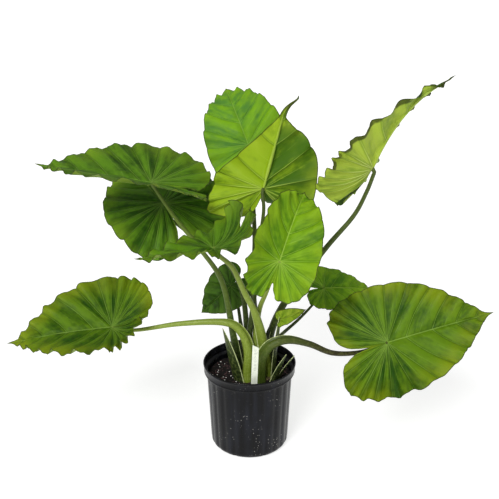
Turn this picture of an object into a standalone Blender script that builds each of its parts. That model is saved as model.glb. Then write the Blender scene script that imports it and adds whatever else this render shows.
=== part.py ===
"""Potted alocasia: a black nursery pot of soil with twelve long-stalked, heart-shaped leaves.

Metres, +Z up, +X to the plant's right as it is looked at, -Y towards the onlooker.
The origin is the middle of the pot's underside, on the surface that the pot stands on.
"""

import math
from dataclasses import dataclass

import bmesh
import bpy
import numpy as np
from mathutils import Vector

COLLECTION = "potted_alocasia"
GAP = 0.0003                    # between solids that touch

# Pot
POT_HEIGHT = 0.248
POT_RIM_RADIUS = 0.127
POT_WALL = 0.0024
POT_EDGE = 0.0015               # slope at the rim's edges
POT_BAND_HEIGHT = 0.0045        # the band round the very rim
POT_BAND_STEP = 0.002           # how far the collar steps in under the band
POT_COLLAR_HEIGHT = 0.026
POT_COLLAR_STEP = 0.0095        # from the rim in to the wall under the collar
POT_COLLAR_SLOPE = 0.003
POT_BODY_TOP_RADIUS = POT_RIM_RADIUS - POT_COLLAR_STEP
POT_BODY_TAPER = 0.0105         # how much narrower the body is at the bottom
POT_BODY_BASE_RADIUS = POT_BODY_TOP_RADIUS - POT_BODY_TAPER
POT_CORNER_RADIUS = 0.016
POT_SIDES = 48                  # two to a flute
POT_FLUTE_DEPTH = 0.0016
DRAIN_HOLES = 8
DRAIN_HOLE_RADIUS = 0.0065
DRAIN_HOLE_SIDES = 10

# Soil
POT_HEADSPACE = 0.040           # from the rim down to the soil
SOIL_TOP = POT_HEIGHT - POT_HEADSPACE
SOIL_CLEARANCE = 0.0006         # to the pot's wall and floor
SOIL_BANK = 0.004               # how much higher the soil lies round the crown

# Crown: the short stem that every stalk grows from
CROWN_X = 0.015                 # it grows a little off the pot's middle
CROWN_RADIUS = 0.064
CROWN_DEPTH = 0.030             # of it in the soil
CROWN_RISE = 0.010              # of it above the soil
CROWN_EDGE = 0.002              # slope round its top
CROWN_TAPER = 0.019             # how much narrower it is at the bottom
CROWN_SIDES = 24

# Plant label
LABEL_WIDTH = 0.0165
LABEL_THICKNESS = 0.0012
LABEL_HEIGHT = 0.141            # of it above the soil
LABEL_TOP = SOIL_TOP + LABEL_HEIGHT
LABEL_DEPTH = 0.060             # of it in the soil
LABEL_POINT = 0.022
LABEL_X = 0.004
LABEL_INSET = 0.0175            # from the pot's wall in to the label
LABEL_Y = LABEL_INSET - POT_BODY_TOP_RADIUS
LABEL_LEAN = 2.0                # degrees, to the right
LABEL_SLOT_CLEARANCE = 0.0004

# Leaf blades
BLADE_THICKNESS = 0.0018
BLADE_FLAT = 0.010              # half width of the stretch at the midrib that doesn't fold
BLADE_COLUMNS = 14              # of one half, from tip to notch
BLADE_ROWS = 3                  # from midrib to margin
BEND_STEPS = 12

# Stalks
STALK_STRAIGHT = 0.012          # straight length at either end
STALK_LEAN = 0.8                # how far it comes in from the lobes' side, for each metre upward
STALK_POINTS_PER_SPAN = 4
STALK_TAPER = 1.4               # power; higher keeps the thickness nearer the crown

# One half of the flat outline, as Bezier stretches. x is in blade lengths before the stalk
# and in lobe lengths behind it; y is in half widths.
SIDE_PULL = 0.55                # how far back the margin holds its full width
LOBE_SHOULDER = 0.09
NOTCH_SLIT = 0.05
NOTCH_PULL = 0.62               # how far back the slit stays narrow
WIDEST_AT = 0.50                # share of the margin from the tip
LOBE_AT = 0.82
VEIN_SLANT = 0.90               # how far forward a side vein runs for each metre outward


@dataclass(frozen=True)
class Leaf:
    """One leaf: where its blade hangs, how it is bent, and the way its stalk takes.

    Places are measured from the middle of the crown's top.
    """

    name: str
    node: tuple                 # where the stalk meets the blade
    tip: tuple                  # direction from the node to the tip
    face: tuple                 # direction that the upper surface looks
    length: float               # node to tip, along the midrib
    width: float
    lobe: float                 # node to the ends of the lobes
    fold: tuple                 # degrees that the left and right halves rise from the midrib
    curl: tuple                 # degrees more that each half bends by its margin
    droop: float                # degrees that the midrib bends down by the tip
    lobe_droop: tuple           # degrees that the left and right lobes bend down by their ends
    base: tuple                 # x and y of the stalk on the crown
    route: tuple                # points that the stalk passes through
    stalk_radius: tuple         # at the crown and at the blade
    fullness: tuple = (0.58, 0.58)  # how far forward the left and right margins stay wide
    spread: float = 0.46        # how far out the lobes end, in half widths
    point: tuple = (0.84, 0.16) # pull of the tip's corner; farther out is blunter
    notch: float = 0.28         # from the stalk back to the notch, in lobe lengths


LEAVES = (
    Leaf(
        "right_low", (0.350, -0.060, 0.118), (0.93, -0.07, 0.36), (-0.05, -0.75, 0.66),
        0.275, 0.310, 0.140, (4, 14), (6, 6), 12, (10, -8),
        (0.015, -0.047),
        ((0.019, -0.049, 0.062), (0.043, -0.048, 0.102), (0.087, -0.044, 0.116),
         (0.145, -0.035, 0.100), (0.210, -0.030, 0.070), (0.285, -0.020, 0.067)),
        (0.0145, 0.0050), fullness=(0.58, 0.60), spread=0.55, notch=0.34,
    ),
    Leaf(
        "left_low", (-0.383, -0.020, 0.143), (-1.0, -0.10, -0.06), (0.0, -0.33, 0.94),
        0.275, 0.310, 0.115, (22, 18), (10, 5), 14, (-58, -12),
        (-0.021, -0.042),
        ((-0.019, -0.038, 0.077), (-0.037, -0.026, 0.129), (-0.083, -0.014, 0.154),
         (-0.202, -0.010, 0.148), (-0.315, -0.005, 0.127)),
        (0.0145, 0.0045),
    ),
    Leaf(
        "left_high", (-0.265, 0.020, 0.534), (-1.0, 0.0, 0.18), (0.0, -0.05, 1.0),
        0.290, 0.320, 0.145, (19, 17), (4, 6), 4, (10, 10),
        (-0.047, -0.008),
        ((-0.060, 0.010, 0.112), (-0.089, 0.040, 0.250), (-0.148, 0.032, 0.351), (-0.206, 0.022, 0.435)),
        (0.0120, 0.0045),
    ),
    Leaf(
        "left_back", (-0.252, 0.150, 0.436), (-0.52, 0.77, 0.30), (-0.10, -0.35, 0.93),
        0.240, 0.320, 0.150, (0, 0), (0, 0), 10, (55, 55),
        (-0.021, 0.022),
        ((-0.023, 0.030, 0.112), (-0.034, 0.045, 0.212), (-0.064, 0.080, 0.270),
         (-0.118, 0.130, 0.308), (-0.182, 0.170, 0.338), (-0.235, 0.180, 0.380)),
        (0.0095, 0.0040),
    ),
    Leaf(
        "back", (-0.018, 0.140, 0.602), (-0.35, 0.45, 0.82), (-0.05, -0.88, 0.46),
        0.203, 0.220, 0.120, (0, 0), (0, 0), 55, (10, 10),
        (0.007, 0.018),
        ((0.003, 0.030, 0.112), (-0.005, 0.050, 0.232), (-0.001, 0.075, 0.357),
         (-0.007, 0.125, 0.482), (-0.014, 0.165, 0.565)),
        (0.0105, 0.0045), point=(0.96, 0.36),
    ),
    Leaf(
        "centre", (0.020, 0.000, 0.524), (0.25, 0.05, 0.96), (0.10, 1.0, 0.10),
        0.238, 0.262, 0.100, (0, 12), (0, 6), 0, (-130, 10),
        (-0.023, -0.006),
        ((-0.015, -0.002, 0.112), (-0.005, -0.010, 0.202), (0.007, -0.020, 0.322),
         (0.013, -0.028, 0.402), (0.021, -0.026, 0.475)),
        (0.0100, 0.0045), fullness=(0.74, 0.0), spread=0.92,
    ),
    Leaf(
        "left_front", (-0.104, -0.125, 0.411), (-0.92, -0.36, -0.02), (0.0, 0.12, 1.0),
        0.190, 0.205, 0.152, (10, 12), (0, 0), 0, (-95, -95),
        (0.035, -0.016),
        ((0.025, -0.020, 0.092), (0.002, -0.045, 0.191), (-0.027, -0.060, 0.261),
         (-0.057, -0.080, 0.339), (-0.088, -0.103, 0.380)),
        (0.0145, 0.0055), fullness=(0.25, 0.25), spread=0.60,
    ),
    Leaf(
        "front", (0.058, -0.160, 0.391), (0.30, 0.25, 0.92), (-0.15, -0.95, 0.35),
        0.186, 0.196, 0.095, (60, 8), (0, 10), 55, (10, 10),
        (0.003, -0.012),
        ((0.003, -0.010, 0.112), (0.011, -0.022, 0.195), (0.027, -0.080, 0.270), (0.044, -0.125, 0.340)),
        (0.0100, 0.0045), fullness=(0.72, 0.62), spread=0.30, point=(0.98, 0.36), notch=0.60,
    ),
    Leaf(
        "right_high", (0.292, 0.000, 0.578), (0.40, 0.10, 0.90), (-0.80, 0.30, 0.40),
        0.298, 0.270, 0.150, (6, 44), (0, 0), 42, (-38, -45),
        (0.037, 0.020),
        ((0.045, 0.020, 0.112), (0.088, 0.010, 0.216), (0.182, 0.000, 0.360),
         (0.250, 0.000, 0.448), (0.280, 0.000, 0.510)),
        (0.0125, 0.0050), fullness=(0.40, 0.0), spread=0.74, point=(0.72, 0.08),
    ),
    Leaf(
        "right_back", (0.194, 0.120, 0.195), (1.0, 0.30, -0.10), (-0.10, -0.45, 0.88),
        0.160, 0.160, 0.058, (0, 0), (0, 0), 15, (10, 10),
        (0.019, 0.044),
        ((0.032, 0.046, 0.044), (0.080, 0.055, 0.088), (0.125, 0.075, 0.122), (0.168, 0.108, 0.156)),
        (0.0070, 0.0030),
    ),
    Leaf(
        "young", (0.068, -0.020, 0.165), (0.85, -0.20, 0.45), (-0.40, -0.60, 0.55),
        0.080, 0.050, 0.012, (35, 35), (0, 0), -10, (0, 0),
        (0.051, 0.002), ((0.055, -0.006, 0.062), (0.062, -0.016, 0.115)),
        (0.0045, 0.0022),
    ),
    Leaf(
        "inner", (-0.068, 0.115, 0.203), (-0.65, -0.05, -0.60), (-0.30, -0.80, 0.50),
        0.118, 0.130, 0.055, (0, 0), (0, 0), 10, (0, 0),
        (-0.033, 0.045), ((-0.036, 0.062, 0.072), (-0.045, 0.105, 0.130)),
        (0.0080, 0.0035),
    ),
)

# Colours as the surfaces show them: red, green and blue, then roughness
FINISHES = {
    "pot_plastic": ((0.014, 0.015, 0.017), 0.45),
    "potting_mix": ((0.024, 0.017, 0.012), 0.95),
    "crown_skin": ((0.075, 0.080, 0.030), 0.70),
    "leaf_blade": ((0.070, 0.160, 0.012), 0.45),
    "leaf_stalk": ((0.130, 0.200, 0.040), 0.50),
    "label_plastic": ((0.780, 0.790, 0.760), 0.40),
}


def clear_scene():
    """Take away whatever the file opened with."""
    for obj in list(bpy.data.objects):
        bpy.data.objects.remove(obj, do_unlink=True)


def new_collection(name):
    """A collection linked to the scene."""
    collection = bpy.data.collections.new(name)
    bpy.context.scene.collection.children.link(collection)
    return collection


def new_material(name, color, roughness):
    """A Principled material of one plain colour."""
    material = bpy.data.materials.new(name)
    material.use_nodes = True
    shader = material.node_tree.nodes["Principled BSDF"]
    shader.inputs["Base Color"].default_value = (*color, 1.0)
    shader.inputs["Roughness"].default_value = roughness
    shader.inputs["Metallic"].default_value = 0.0
    return material


def add_object(name, data, material, collection):
    """An object of the given mesh or curve, in its material, in the collection."""
    obj = bpy.data.objects.new(name, data)
    data.materials.append(material)
    collection.objects.link(obj)
    return obj


# Turned pieces


def turned(name, profile, sides, material, collection):
    """A solid turned about Z from a profile that runs down its outer side and back up its inner one."""
    mesh = bpy.data.meshes.new(name)
    edges = [(i, i + 1) for i in range(len(profile) - 1)]
    mesh.from_pydata([(radius, 0.0, height) for radius, height in profile], edges, [])
    obj = add_object(name, mesh, material, collection)
    screw = obj.modifiers.new("turn", "SCREW")
    screw.steps = sides
    screw.render_steps = sides
    screw.use_merge_vertices = True
    screw.merge_threshold = 0.00005
    screw.use_smooth_shade = True
    return obj


def apply_modifiers(obj):
    """Keep the evaluated shape as the object's own mesh."""
    depsgraph = bpy.context.evaluated_depsgraph_get()
    mesh = bpy.data.meshes.new_from_object(obj.evaluated_get(depsgraph))
    obj.modifiers.clear()
    obj.data = mesh


def arc(center, radius, start, end, steps):
    """Points of a round corner in the profile's plane, with angles in degrees."""
    angles = np.radians(np.linspace(start, end, steps + 1))
    return [(center[0] + radius * math.cos(a), center[1] + radius * math.sin(a)) for a in angles]


def pot_outer_radius(height):
    """The body wall's outer radius at a height, between the corner and the collar."""
    share = height / (POT_HEIGHT - POT_COLLAR_HEIGHT)
    return POT_BODY_BASE_RADIUS + share * (POT_BODY_TOP_RADIUS - POT_BODY_BASE_RADIUS)


def pot_profile():
    """The pot's section: outer side down, underside, inner side up, rim."""
    collar_base = POT_HEIGHT - POT_COLLAR_HEIGHT
    collar_radius = POT_RIM_RADIUS - POT_BAND_STEP
    middle = POT_HEIGHT / 2
    corner = (pot_outer_radius(POT_CORNER_RADIUS) - POT_CORNER_RADIUS, POT_CORNER_RADIUS)
    outer = [
        (POT_RIM_RADIUS - POT_WALL / 2, POT_HEIGHT),
        (POT_RIM_RADIUS, POT_HEIGHT - POT_EDGE),
        (POT_RIM_RADIUS, POT_HEIGHT - POT_BAND_HEIGHT),
        (collar_radius, POT_HEIGHT - POT_BAND_HEIGHT - POT_EDGE),
        (collar_radius, collar_base),
        (POT_BODY_TOP_RADIUS, collar_base - POT_COLLAR_SLOPE),
        (pot_outer_radius(middle), middle),
    ]
    outer += arc(corner, POT_CORNER_RADIUS, 0, -90, 4)
    inner_corner_radius = POT_CORNER_RADIUS - POT_WALL
    inner = arc(corner, inner_corner_radius, -90, 0, 3)
    inner += [
        (pot_outer_radius(middle) - POT_WALL, middle),
        (POT_BODY_TOP_RADIUS - POT_WALL, collar_base),
        (collar_radius - POT_WALL, collar_base + POT_COLLAR_SLOPE),
        (collar_radius - POT_WALL, POT_HEIGHT - POT_EDGE),
    ]
    return [*outer, (0.0, 0.0), (0.0, POT_WALL), *inner, outer[0]]


def flute(obj):
    """Press shallow upright flutes into the pot's wall, under the collar."""
    top = POT_HEIGHT - POT_COLLAR_HEIGHT - 2 * POT_COLLAR_SLOPE
    for vertex in obj.data.vertices:
        radius = math.hypot(vertex.co.x, vertex.co.y)
        inside_band = POT_CORNER_RADIUS / 2 < vertex.co.z < top
        if radius < POT_BODY_BASE_RADIUS - POT_CORNER_RADIUS or not inside_band:
            continue
        side = round(math.atan2(vertex.co.y, vertex.co.x) / (2 * math.pi / POT_SIDES))
        if side % 2:
            vertex.co.x *= 1 - POT_FLUTE_DEPTH / radius
            vertex.co.y *= 1 - POT_FLUTE_DEPTH / radius


def hide_cutter(obj):
    """Show a cutter as wires only, and leave it out of renders."""
    obj.hide_render = True
    obj.display_type = "WIRE"


def cut(obj, cutter, name):
    """Take the cutter's shape out of the object."""
    boolean = obj.modifiers.new(name, "BOOLEAN")
    boolean.operation = "DIFFERENCE"
    boolean.solver = "EXACT"
    boolean.object = cutter
    hide_cutter(cutter)


def drain_cutter(index, material, cutters):
    """A peg that goes slantwise through the pot's bottom corner."""
    angle = 2 * math.pi * (index + 0.5) / DRAIN_HOLES
    inset = POT_CORNER_RADIUS * (1 - math.sqrt(0.5))
    distance = pot_outer_radius(POT_CORNER_RADIUS) - inset
    mesh = bpy.data.meshes.new(f"drain_cutter_{index}")
    shape = bmesh.new()
    bmesh.ops.create_cone(
        shape,
        cap_ends=True,
        segments=DRAIN_HOLE_SIDES,
        radius1=DRAIN_HOLE_RADIUS,
        radius2=DRAIN_HOLE_RADIUS,
        depth=POT_CORNER_RADIUS * 2,
    )
    shape.to_mesh(mesh)
    shape.free()
    cutter = add_object(f"drain_cutter_{index}", mesh, material, cutters)
    cutter.location = (distance * math.cos(angle), distance * math.sin(angle), inset)
    outward = Vector((math.cos(angle), math.sin(angle), -1.0))
    cutter.rotation_mode = "QUATERNION"
    cutter.rotation_quaternion = outward.to_track_quat("Z", "Y")
    return cutter


def build_pot(materials, parts, cutters):
    """The one-piece nursery pot, with its collar, flutes and drain holes."""
    pot = turned("pot", pot_profile(), POT_SIDES, materials["pot_plastic"], parts)
    apply_modifiers(pot)
    flute(pot)
    for index in range(DRAIN_HOLES):
        cut(pot, drain_cutter(index, materials["pot_plastic"], cutters), f"drain_{index}")
    return pot


def soil_radius(height):
    """The soil's radius at a height, clear of the flutes inside the pot."""
    return pot_outer_radius(height) - POT_WALL - POT_FLUTE_DEPTH - SOIL_CLEARANCE


def build_soil(materials, parts, cutters):
    """The potting mix, with a seat for the crown and a slot for the label."""
    corner_radius = POT_CORNER_RADIUS - POT_WALL - SOIL_CLEARANCE
    corner = (soil_radius(POT_CORNER_RADIUS) - corner_radius, POT_CORNER_RADIUS)
    profile = [
        (0.0, SOIL_TOP + SOIL_BANK),
        (CROWN_RADIUS + CROWN_X, SOIL_TOP + SOIL_BANK),
        (soil_radius(SOIL_TOP), SOIL_TOP - SOIL_BANK / 2),
    ]
    profile += arc(corner, corner_radius, 0, -90, 3)
    profile.append((0.0, POT_CORNER_RADIUS - corner_radius))
    soil = turned("soil", profile, POT_SIDES, materials["potting_mix"], parts)
    seat = turned("crown_seat_cutter", crown_seat_profile(), CROWN_SIDES, materials["potting_mix"], cutters)
    seat.location.x = CROWN_X
    cut(soil, seat, "crown_seat")
    slot = label_mesh_object("label_slot_cutter", LABEL_SLOT_CLEARANCE, materials["potting_mix"], cutters)
    cut(soil, slot, "label_slot")
    return soil


def crown_seat_profile():
    """The straight-sided pit in the soil that the crown stands in."""
    radius = CROWN_RADIUS + GAP
    return [
        (0.0, SOIL_TOP + CROWN_RISE + SOIL_BANK),
        (radius, SOIL_TOP + CROWN_RISE + SOIL_BANK),
        (radius, SOIL_TOP - CROWN_DEPTH - GAP),
        (0.0, SOIL_TOP - CROWN_DEPTH - GAP),
    ]


def build_crown(materials, parts):
    """The squat stem top that sits in the soil and carries the stalks."""
    top = SOIL_TOP + CROWN_RISE
    profile = [
        (0.0, top),
        (CROWN_RADIUS - CROWN_EDGE, top),
        (CROWN_RADIUS, top - CROWN_EDGE),
        (CROWN_RADIUS, SOIL_TOP - CROWN_DEPTH / 2),
        (CROWN_RADIUS - CROWN_TAPER, SOIL_TOP - CROWN_DEPTH),
        (0.0, SOIL_TOP - CROWN_DEPTH),
    ]
    crown = turned("crown", profile, CROWN_SIDES, materials["crown_skin"], parts)
    crown.location.x = CROWN_X
    return crown


# Plant label


def label_mesh_object(name, grow, material, collection):
    """The label's stake, pointed at the bottom, made larger all round by a clearance."""
    half = LABEL_WIDTH / 2 + grow
    bottom = SOIL_TOP - LABEL_DEPTH - grow
    outline = [
        (-half, LABEL_TOP),
        (-half, bottom + LABEL_POINT),
        (0.0, bottom),
        (half, bottom + LABEL_POINT),
        (half, LABEL_TOP),
    ]
    curve = bpy.data.curves.new(name, "CURVE")
    curve.dimensions = "2D"
    curve.fill_mode = "BOTH"
    curve.extrude = LABEL_THICKNESS / 2 + grow
    spline = curve.splines.new("POLY")
    spline.points.add(len(outline) - 1)
    for point, (x, z) in zip(spline.points, outline):
        point.co = (x, z, 0.0, 1.0)
    spline.use_cyclic_u = True
    flat = add_object(name + "_curve", curve, material, collection)
    flat.rotation_euler = (math.radians(90), math.radians(LABEL_LEAN), 0.0)
    flat.location = (LABEL_X, LABEL_Y, 0.0)
    return solid_from_curve(flat, name, material, collection)


def solid_from_curve(flat, name, material, collection):
    """A mesh object in place of a curve, with its caps welded on."""
    depsgraph = bpy.context.evaluated_depsgraph_get()
    mesh = bpy.data.meshes.new_from_object(flat.evaluated_get(depsgraph))
    mesh.name = name
    shape = bmesh.new()
    shape.from_mesh(mesh)
    bmesh.ops.remove_doubles(shape, verts=shape.verts, dist=0.00005)
    shape.to_mesh(mesh)
    shape.free()
    mesh.materials.clear()
    solid = add_object(name, mesh, material, collection)
    solid.matrix_world = flat.matrix_world.copy()
    bpy.data.objects.remove(flat, do_unlink=True)
    return solid


# Leaf blades


def bezier(points, t):
    """Points of a cubic curve at the values t."""
    a, b, c, d = (np.array(point) for point in points)
    t = np.asarray(t)[:, None]
    s = 1.0 - t
    return s**3 * a + 3 * s**2 * t * b + 3 * s * t**2 * c + t**3 * d


def outline(leaf, share, side):
    """Flat points of the margin of one half; share 0 is the tip and 1 the notch at the stalk.

    The side is 0 for the left half and 1 for the right; both are drawn to the left.
    """
    lobe_end = (-1.0, leaf.spread)
    shoulder = (-1.0, (1.0 + leaf.spread) / 2 + LOBE_SHOULDER)
    tip_to_widest = ((1.0, 0.0), leaf.point, (leaf.fullness[side], 1.0), (0.0, 1.0))
    widest_to_lobe = ((0.0, 1.0), (-SIDE_PULL, 1.0), shoulder, lobe_end)
    slit = (-max(NOTCH_PULL, leaf.notch), NOTCH_SLIT)
    lobe_to_notch = (lobe_end, (-1.0, NOTCH_SLIT), slit, (-leaf.notch, 0.0))
    front = bezier(tip_to_widest, np.clip(share / WIDEST_AT, 0, 1))
    behind = bezier(widest_to_lobe, np.clip((share - WIDEST_AT) / (LOBE_AT - WIDEST_AT), 0, 1))
    inner = bezier(lobe_to_notch, np.clip((share - LOBE_AT) / (1 - LOBE_AT), 0, 1))
    before_stalk = (share < WIDEST_AT)[:, None]
    before_lobe_end = (share < LOBE_AT)[:, None]
    points = np.where(before_stalk, front, np.where(before_lobe_end, behind, inner))
    reach = np.where(points[:, 0] > 0, leaf.length, leaf.lobe)
    return np.stack([points[:, 0] * reach, points[:, 1] * leaf.width / 2], axis=1)


def half_blade(leaf, side):
    """Flat grid of one half, as rows of points from the midrib out to the margin.

    The points on the midrib come from both halves, so that the two grids meet there.
    """
    share = np.linspace(0.0, 1.0, BLADE_COLUMNS + 1)
    margin = outline(leaf, share, side)
    mean = (outline(leaf, share, 0) + outline(leaf, share, 1)) / 2
    start = np.maximum(mean[:, 0] - VEIN_SLANT * mean[:, 1], 0.0)
    start[0] = leaf.length
    rows = []
    for row in range(BLADE_ROWS + 1):
        out = row / BLADE_ROWS
        x = start + (margin[:, 0] - start) * out
        rows.append(np.stack([x, margin[:, 1] * out], axis=1))
    return np.stack(rows)


def bend(leaf, flat):
    """Bend flat points into the leaf's own curved shape; x forward, y left, z up from the blade."""
    steps = (np.arange(BEND_STEPS) + 0.5) / BEND_STEPS
    along = flat[:, :1] * np.append(steps, 1.0)
    forward = np.clip(along, 0, None) / leaf.length
    backward = np.clip(-along, 0, None) / leaf.lobe
    left = flat[:, 1] > 0
    lobe_droop = np.where(left, leaf.lobe_droop[0], leaf.lobe_droop[1])[:, None]
    rise = np.radians(lobe_droop) * backward - np.radians(leaf.droop) * forward**1.5
    x = flat[:, 0] * np.cos(rise[:, :-1]).mean(axis=1)
    z = flat[:, 0] * np.sin(rise[:, :-1]).mean(axis=1)
    fold = np.radians(np.where(left, leaf.fold[0], leaf.fold[1]))[:, None]
    curl = np.radians(np.where(left, leaf.curl[0], leaf.curl[1]))[:, None]
    out = np.abs(flat[:, 1:]) * steps
    tilt = fold * out / (out + BLADE_FLAT) + curl * out / (leaf.width / 2)
    y = flat[:, 1] * np.cos(tilt).mean(axis=1)
    lift = np.abs(flat[:, 1]) * np.sin(tilt).mean(axis=1)
    return np.stack([x - lift * np.sin(rise[:, -1]), y, z + lift * np.cos(rise[:, -1])], axis=1)


def from_crown(point):
    """A place measured from the middle of the crown's top, in the plant's frame."""
    return Vector(point) + Vector((CROWN_X, 0.0, SOIL_TOP + CROWN_RISE))


def blade_axes(leaf):
    """Unit vectors along the blade, to its left and out of its upper surface."""
    along = Vector(leaf.tip).normalized()
    face = Vector(leaf.face)
    normal = (face - face.dot(along) * along).normalized()
    return along, normal.cross(along), normal


def place(leaf, local):
    """The leaf's own points, in the plant's frame."""
    axes = np.array([list(axis) for axis in blade_axes(leaf)])
    return local @ axes + np.array(from_crown(leaf.node))


def build_blade(leaf, material, parts):
    """The blade, as a thin closed shell on the bent grid of its two halves."""
    left = half_blade(leaf, 0)
    right = half_blade(leaf, 1) * (1.0, -1.0)
    mesh = bpy.data.meshes.new(f"leaf_{leaf.name}")
    shape = bmesh.new()
    for grid, flip in ((left, False), (right, True)):
        rows, columns = grid.shape[:2]
        points = place(leaf, bend(leaf, grid.reshape(-1, 2)))
        corners = [shape.verts.new(point) for point in points]
        for row in range(rows - 1):
            for column in range(columns - 1):
                first = row * columns + column
                loop = [first, first + columns, first + columns + 1, first + 1]
                if flip:
                    loop.reverse()
                shape.faces.new([corners[i] for i in loop])
    bmesh.ops.remove_doubles(shape, verts=shape.verts, dist=0.0001)
    shape.to_mesh(mesh)
    shape.free()
    mesh.shade_smooth()
    blade = add_object(f"leaf_{leaf.name}", mesh, material, parts)
    shell = blade.modifiers.new("thickness", "SOLIDIFY")
    shell.thickness = BLADE_THICKNESS
    shell.offset = 0.0
    return blade


# Stalks


def smooth_route(points):
    """Points of a Catmull-Rom curve through the given points."""
    spread = [2 * points[0] - points[1], *points, 2 * points[-1] - points[-2]]
    route = []
    for a, b, c, d in zip(spread, spread[1:], spread[2:], spread[3:]):
        for step in range(STALK_POINTS_PER_SPAN):
            t = step / STALK_POINTS_PER_SPAN
            route.append(
                0.5 * (2 * b + (c - a) * t + (2 * a - 5 * b + 4 * c - d) * t**2 + (3 * b - 3 * c + d - a) * t**3)
            )
    route.append(points[-1])
    return route


def stalk_drop(leaf):
    """How far under the blade's middle the stalk ends, clear of the lobes where they bend down."""
    slope = max(math.radians(max(leaf.lobe_droop)) * leaf.notch / 2, 0.0)
    rim_rise = math.sin(math.atan(STALK_LEAN))
    return BLADE_THICKNESS / 2 + GAP + (slope + rim_rise) * leaf.stalk_radius[1]


def stalk_route(leaf):
    """The stalk's middle line, upright off the crown and slantwise on to the blade's underside."""
    root = from_crown((*leaf.base, GAP))
    along, _, normal = blade_axes(leaf)
    approach = (normal + STALK_LEAN * along).normalized()
    end = from_crown(leaf.node) - normal * stalk_drop(leaf)
    middle = [root + Vector((0.0, 0.0, STALK_STRAIGHT)), *(from_crown(point) for point in leaf.route)]
    middle.append(end - approach * STALK_STRAIGHT)
    return [root, *smooth_route(middle), end]


def build_stalk(leaf, material, parts):
    """The stalk, as a round tube that thins towards the blade."""
    route = stalk_route(leaf)
    lengths = [0.0]
    for a, b in zip(route, route[1:]):
        lengths.append(lengths[-1] + (b - a).length)
    curve = bpy.data.curves.new(f"stalk_{leaf.name}", "CURVE")
    curve.dimensions = "3D"
    curve.bevel_depth = 1.0
    curve.bevel_resolution = 2
    curve.use_fill_caps = True
    spline = curve.splines.new("POLY")
    spline.points.add(len(route) - 1)
    base_radius, blade_radius = leaf.stalk_radius
    for point, place_on_route, length in zip(spline.points, route, lengths):
        point.co = (*place_on_route, 1.0)
        taper = (1 - length / lengths[-1]) ** STALK_TAPER
        point.radius = blade_radius + (base_radius - blade_radius) * taper
    return add_object(f"stalk_{leaf.name}", curve, material, parts)


def build_leaf(leaf, materials, parts):
    """One leaf's blade and stalk."""
    build_blade(leaf, materials["leaf_blade"], parts)
    build_stalk(leaf, materials["leaf_stalk"], parts)


def main():
    """Build the potted plant."""
    clear_scene()
    parts = new_collection(COLLECTION)
    cutters = new_collection("cutters")
    materials = {name: new_material(name, *finish) for name, finish in FINISHES.items()}
    build_pot(materials, parts, cutters)
    build_soil(materials, parts, cutters)
    build_crown(materials, parts)
    label_mesh_object("plant_label", 0.0, materials["label_plastic"], parts)
    for leaf in LEAVES:
        build_leaf(leaf, materials, parts)


main()
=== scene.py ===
"""Finished look of the potted alocasia: blades, stalks, crown, potting mix, nursery pot and label."""

import logging
import math
from dataclasses import dataclass, field
from enum import Enum
from typing import Any, Union

import bmesh
import bpy
import numpy as np
from mathutils import Matrix, Vector


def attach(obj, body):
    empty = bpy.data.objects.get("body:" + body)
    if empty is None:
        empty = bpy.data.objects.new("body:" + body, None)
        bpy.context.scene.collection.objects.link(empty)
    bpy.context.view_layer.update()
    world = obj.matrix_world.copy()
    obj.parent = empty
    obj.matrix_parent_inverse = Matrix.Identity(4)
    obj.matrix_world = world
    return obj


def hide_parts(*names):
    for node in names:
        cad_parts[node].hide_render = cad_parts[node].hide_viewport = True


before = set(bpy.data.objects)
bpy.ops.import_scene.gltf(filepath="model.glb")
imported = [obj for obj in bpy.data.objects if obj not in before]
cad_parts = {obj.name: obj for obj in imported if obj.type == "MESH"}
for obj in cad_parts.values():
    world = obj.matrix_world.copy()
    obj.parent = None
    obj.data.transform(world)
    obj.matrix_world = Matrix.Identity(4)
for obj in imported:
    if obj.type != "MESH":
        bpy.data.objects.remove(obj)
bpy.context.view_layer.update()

LOG = logging.getLogger("alocasia")
BODY = "root"

Color = tuple[float, float, float]
Point = tuple[float, float, float]


# Shader writing


class Wire:
    """A shader value that Python's arithmetic signs work on."""

    def __init__(self, shader: "Shader", socket: bpy.types.NodeSocket) -> None:
        """Keep the socket and the shader that it belongs to.

        Args:
            shader: The shader whose tree holds the socket.
            socket: The output that carries the value.
        """
        self.shader = shader
        self.socket = socket

    def __add__(self, other: "Value") -> "Wire":
        """Sum of two values."""
        return self.shader.math("ADD", self, other)

    def __radd__(self, other: "Value") -> "Wire":
        """Sum of two values, the other way round."""
        return self.shader.math("ADD", other, self)

    def __sub__(self, other: "Value") -> "Wire":
        """Difference of two values."""
        return self.shader.math("SUBTRACT", self, other)

    def __rsub__(self, other: "Value") -> "Wire":
        """Difference of two values, the other way round."""
        return self.shader.math("SUBTRACT", other, self)

    def __mul__(self, other: "Value") -> "Wire":
        """Product of two values."""
        return self.shader.math("MULTIPLY", self, other)

    def __rmul__(self, other: "Value") -> "Wire":
        """Product of two values, the other way round."""
        return self.shader.math("MULTIPLY", other, self)

    def __truediv__(self, other: "Value") -> "Wire":
        """Quotient of two values."""
        return self.shader.math("DIVIDE", self, other)

    def __pow__(self, other: "Value") -> "Wire":
        """Power of two values."""
        return self.shader.math("POWER", self, other)


Value = Union[Wire, float]


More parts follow.
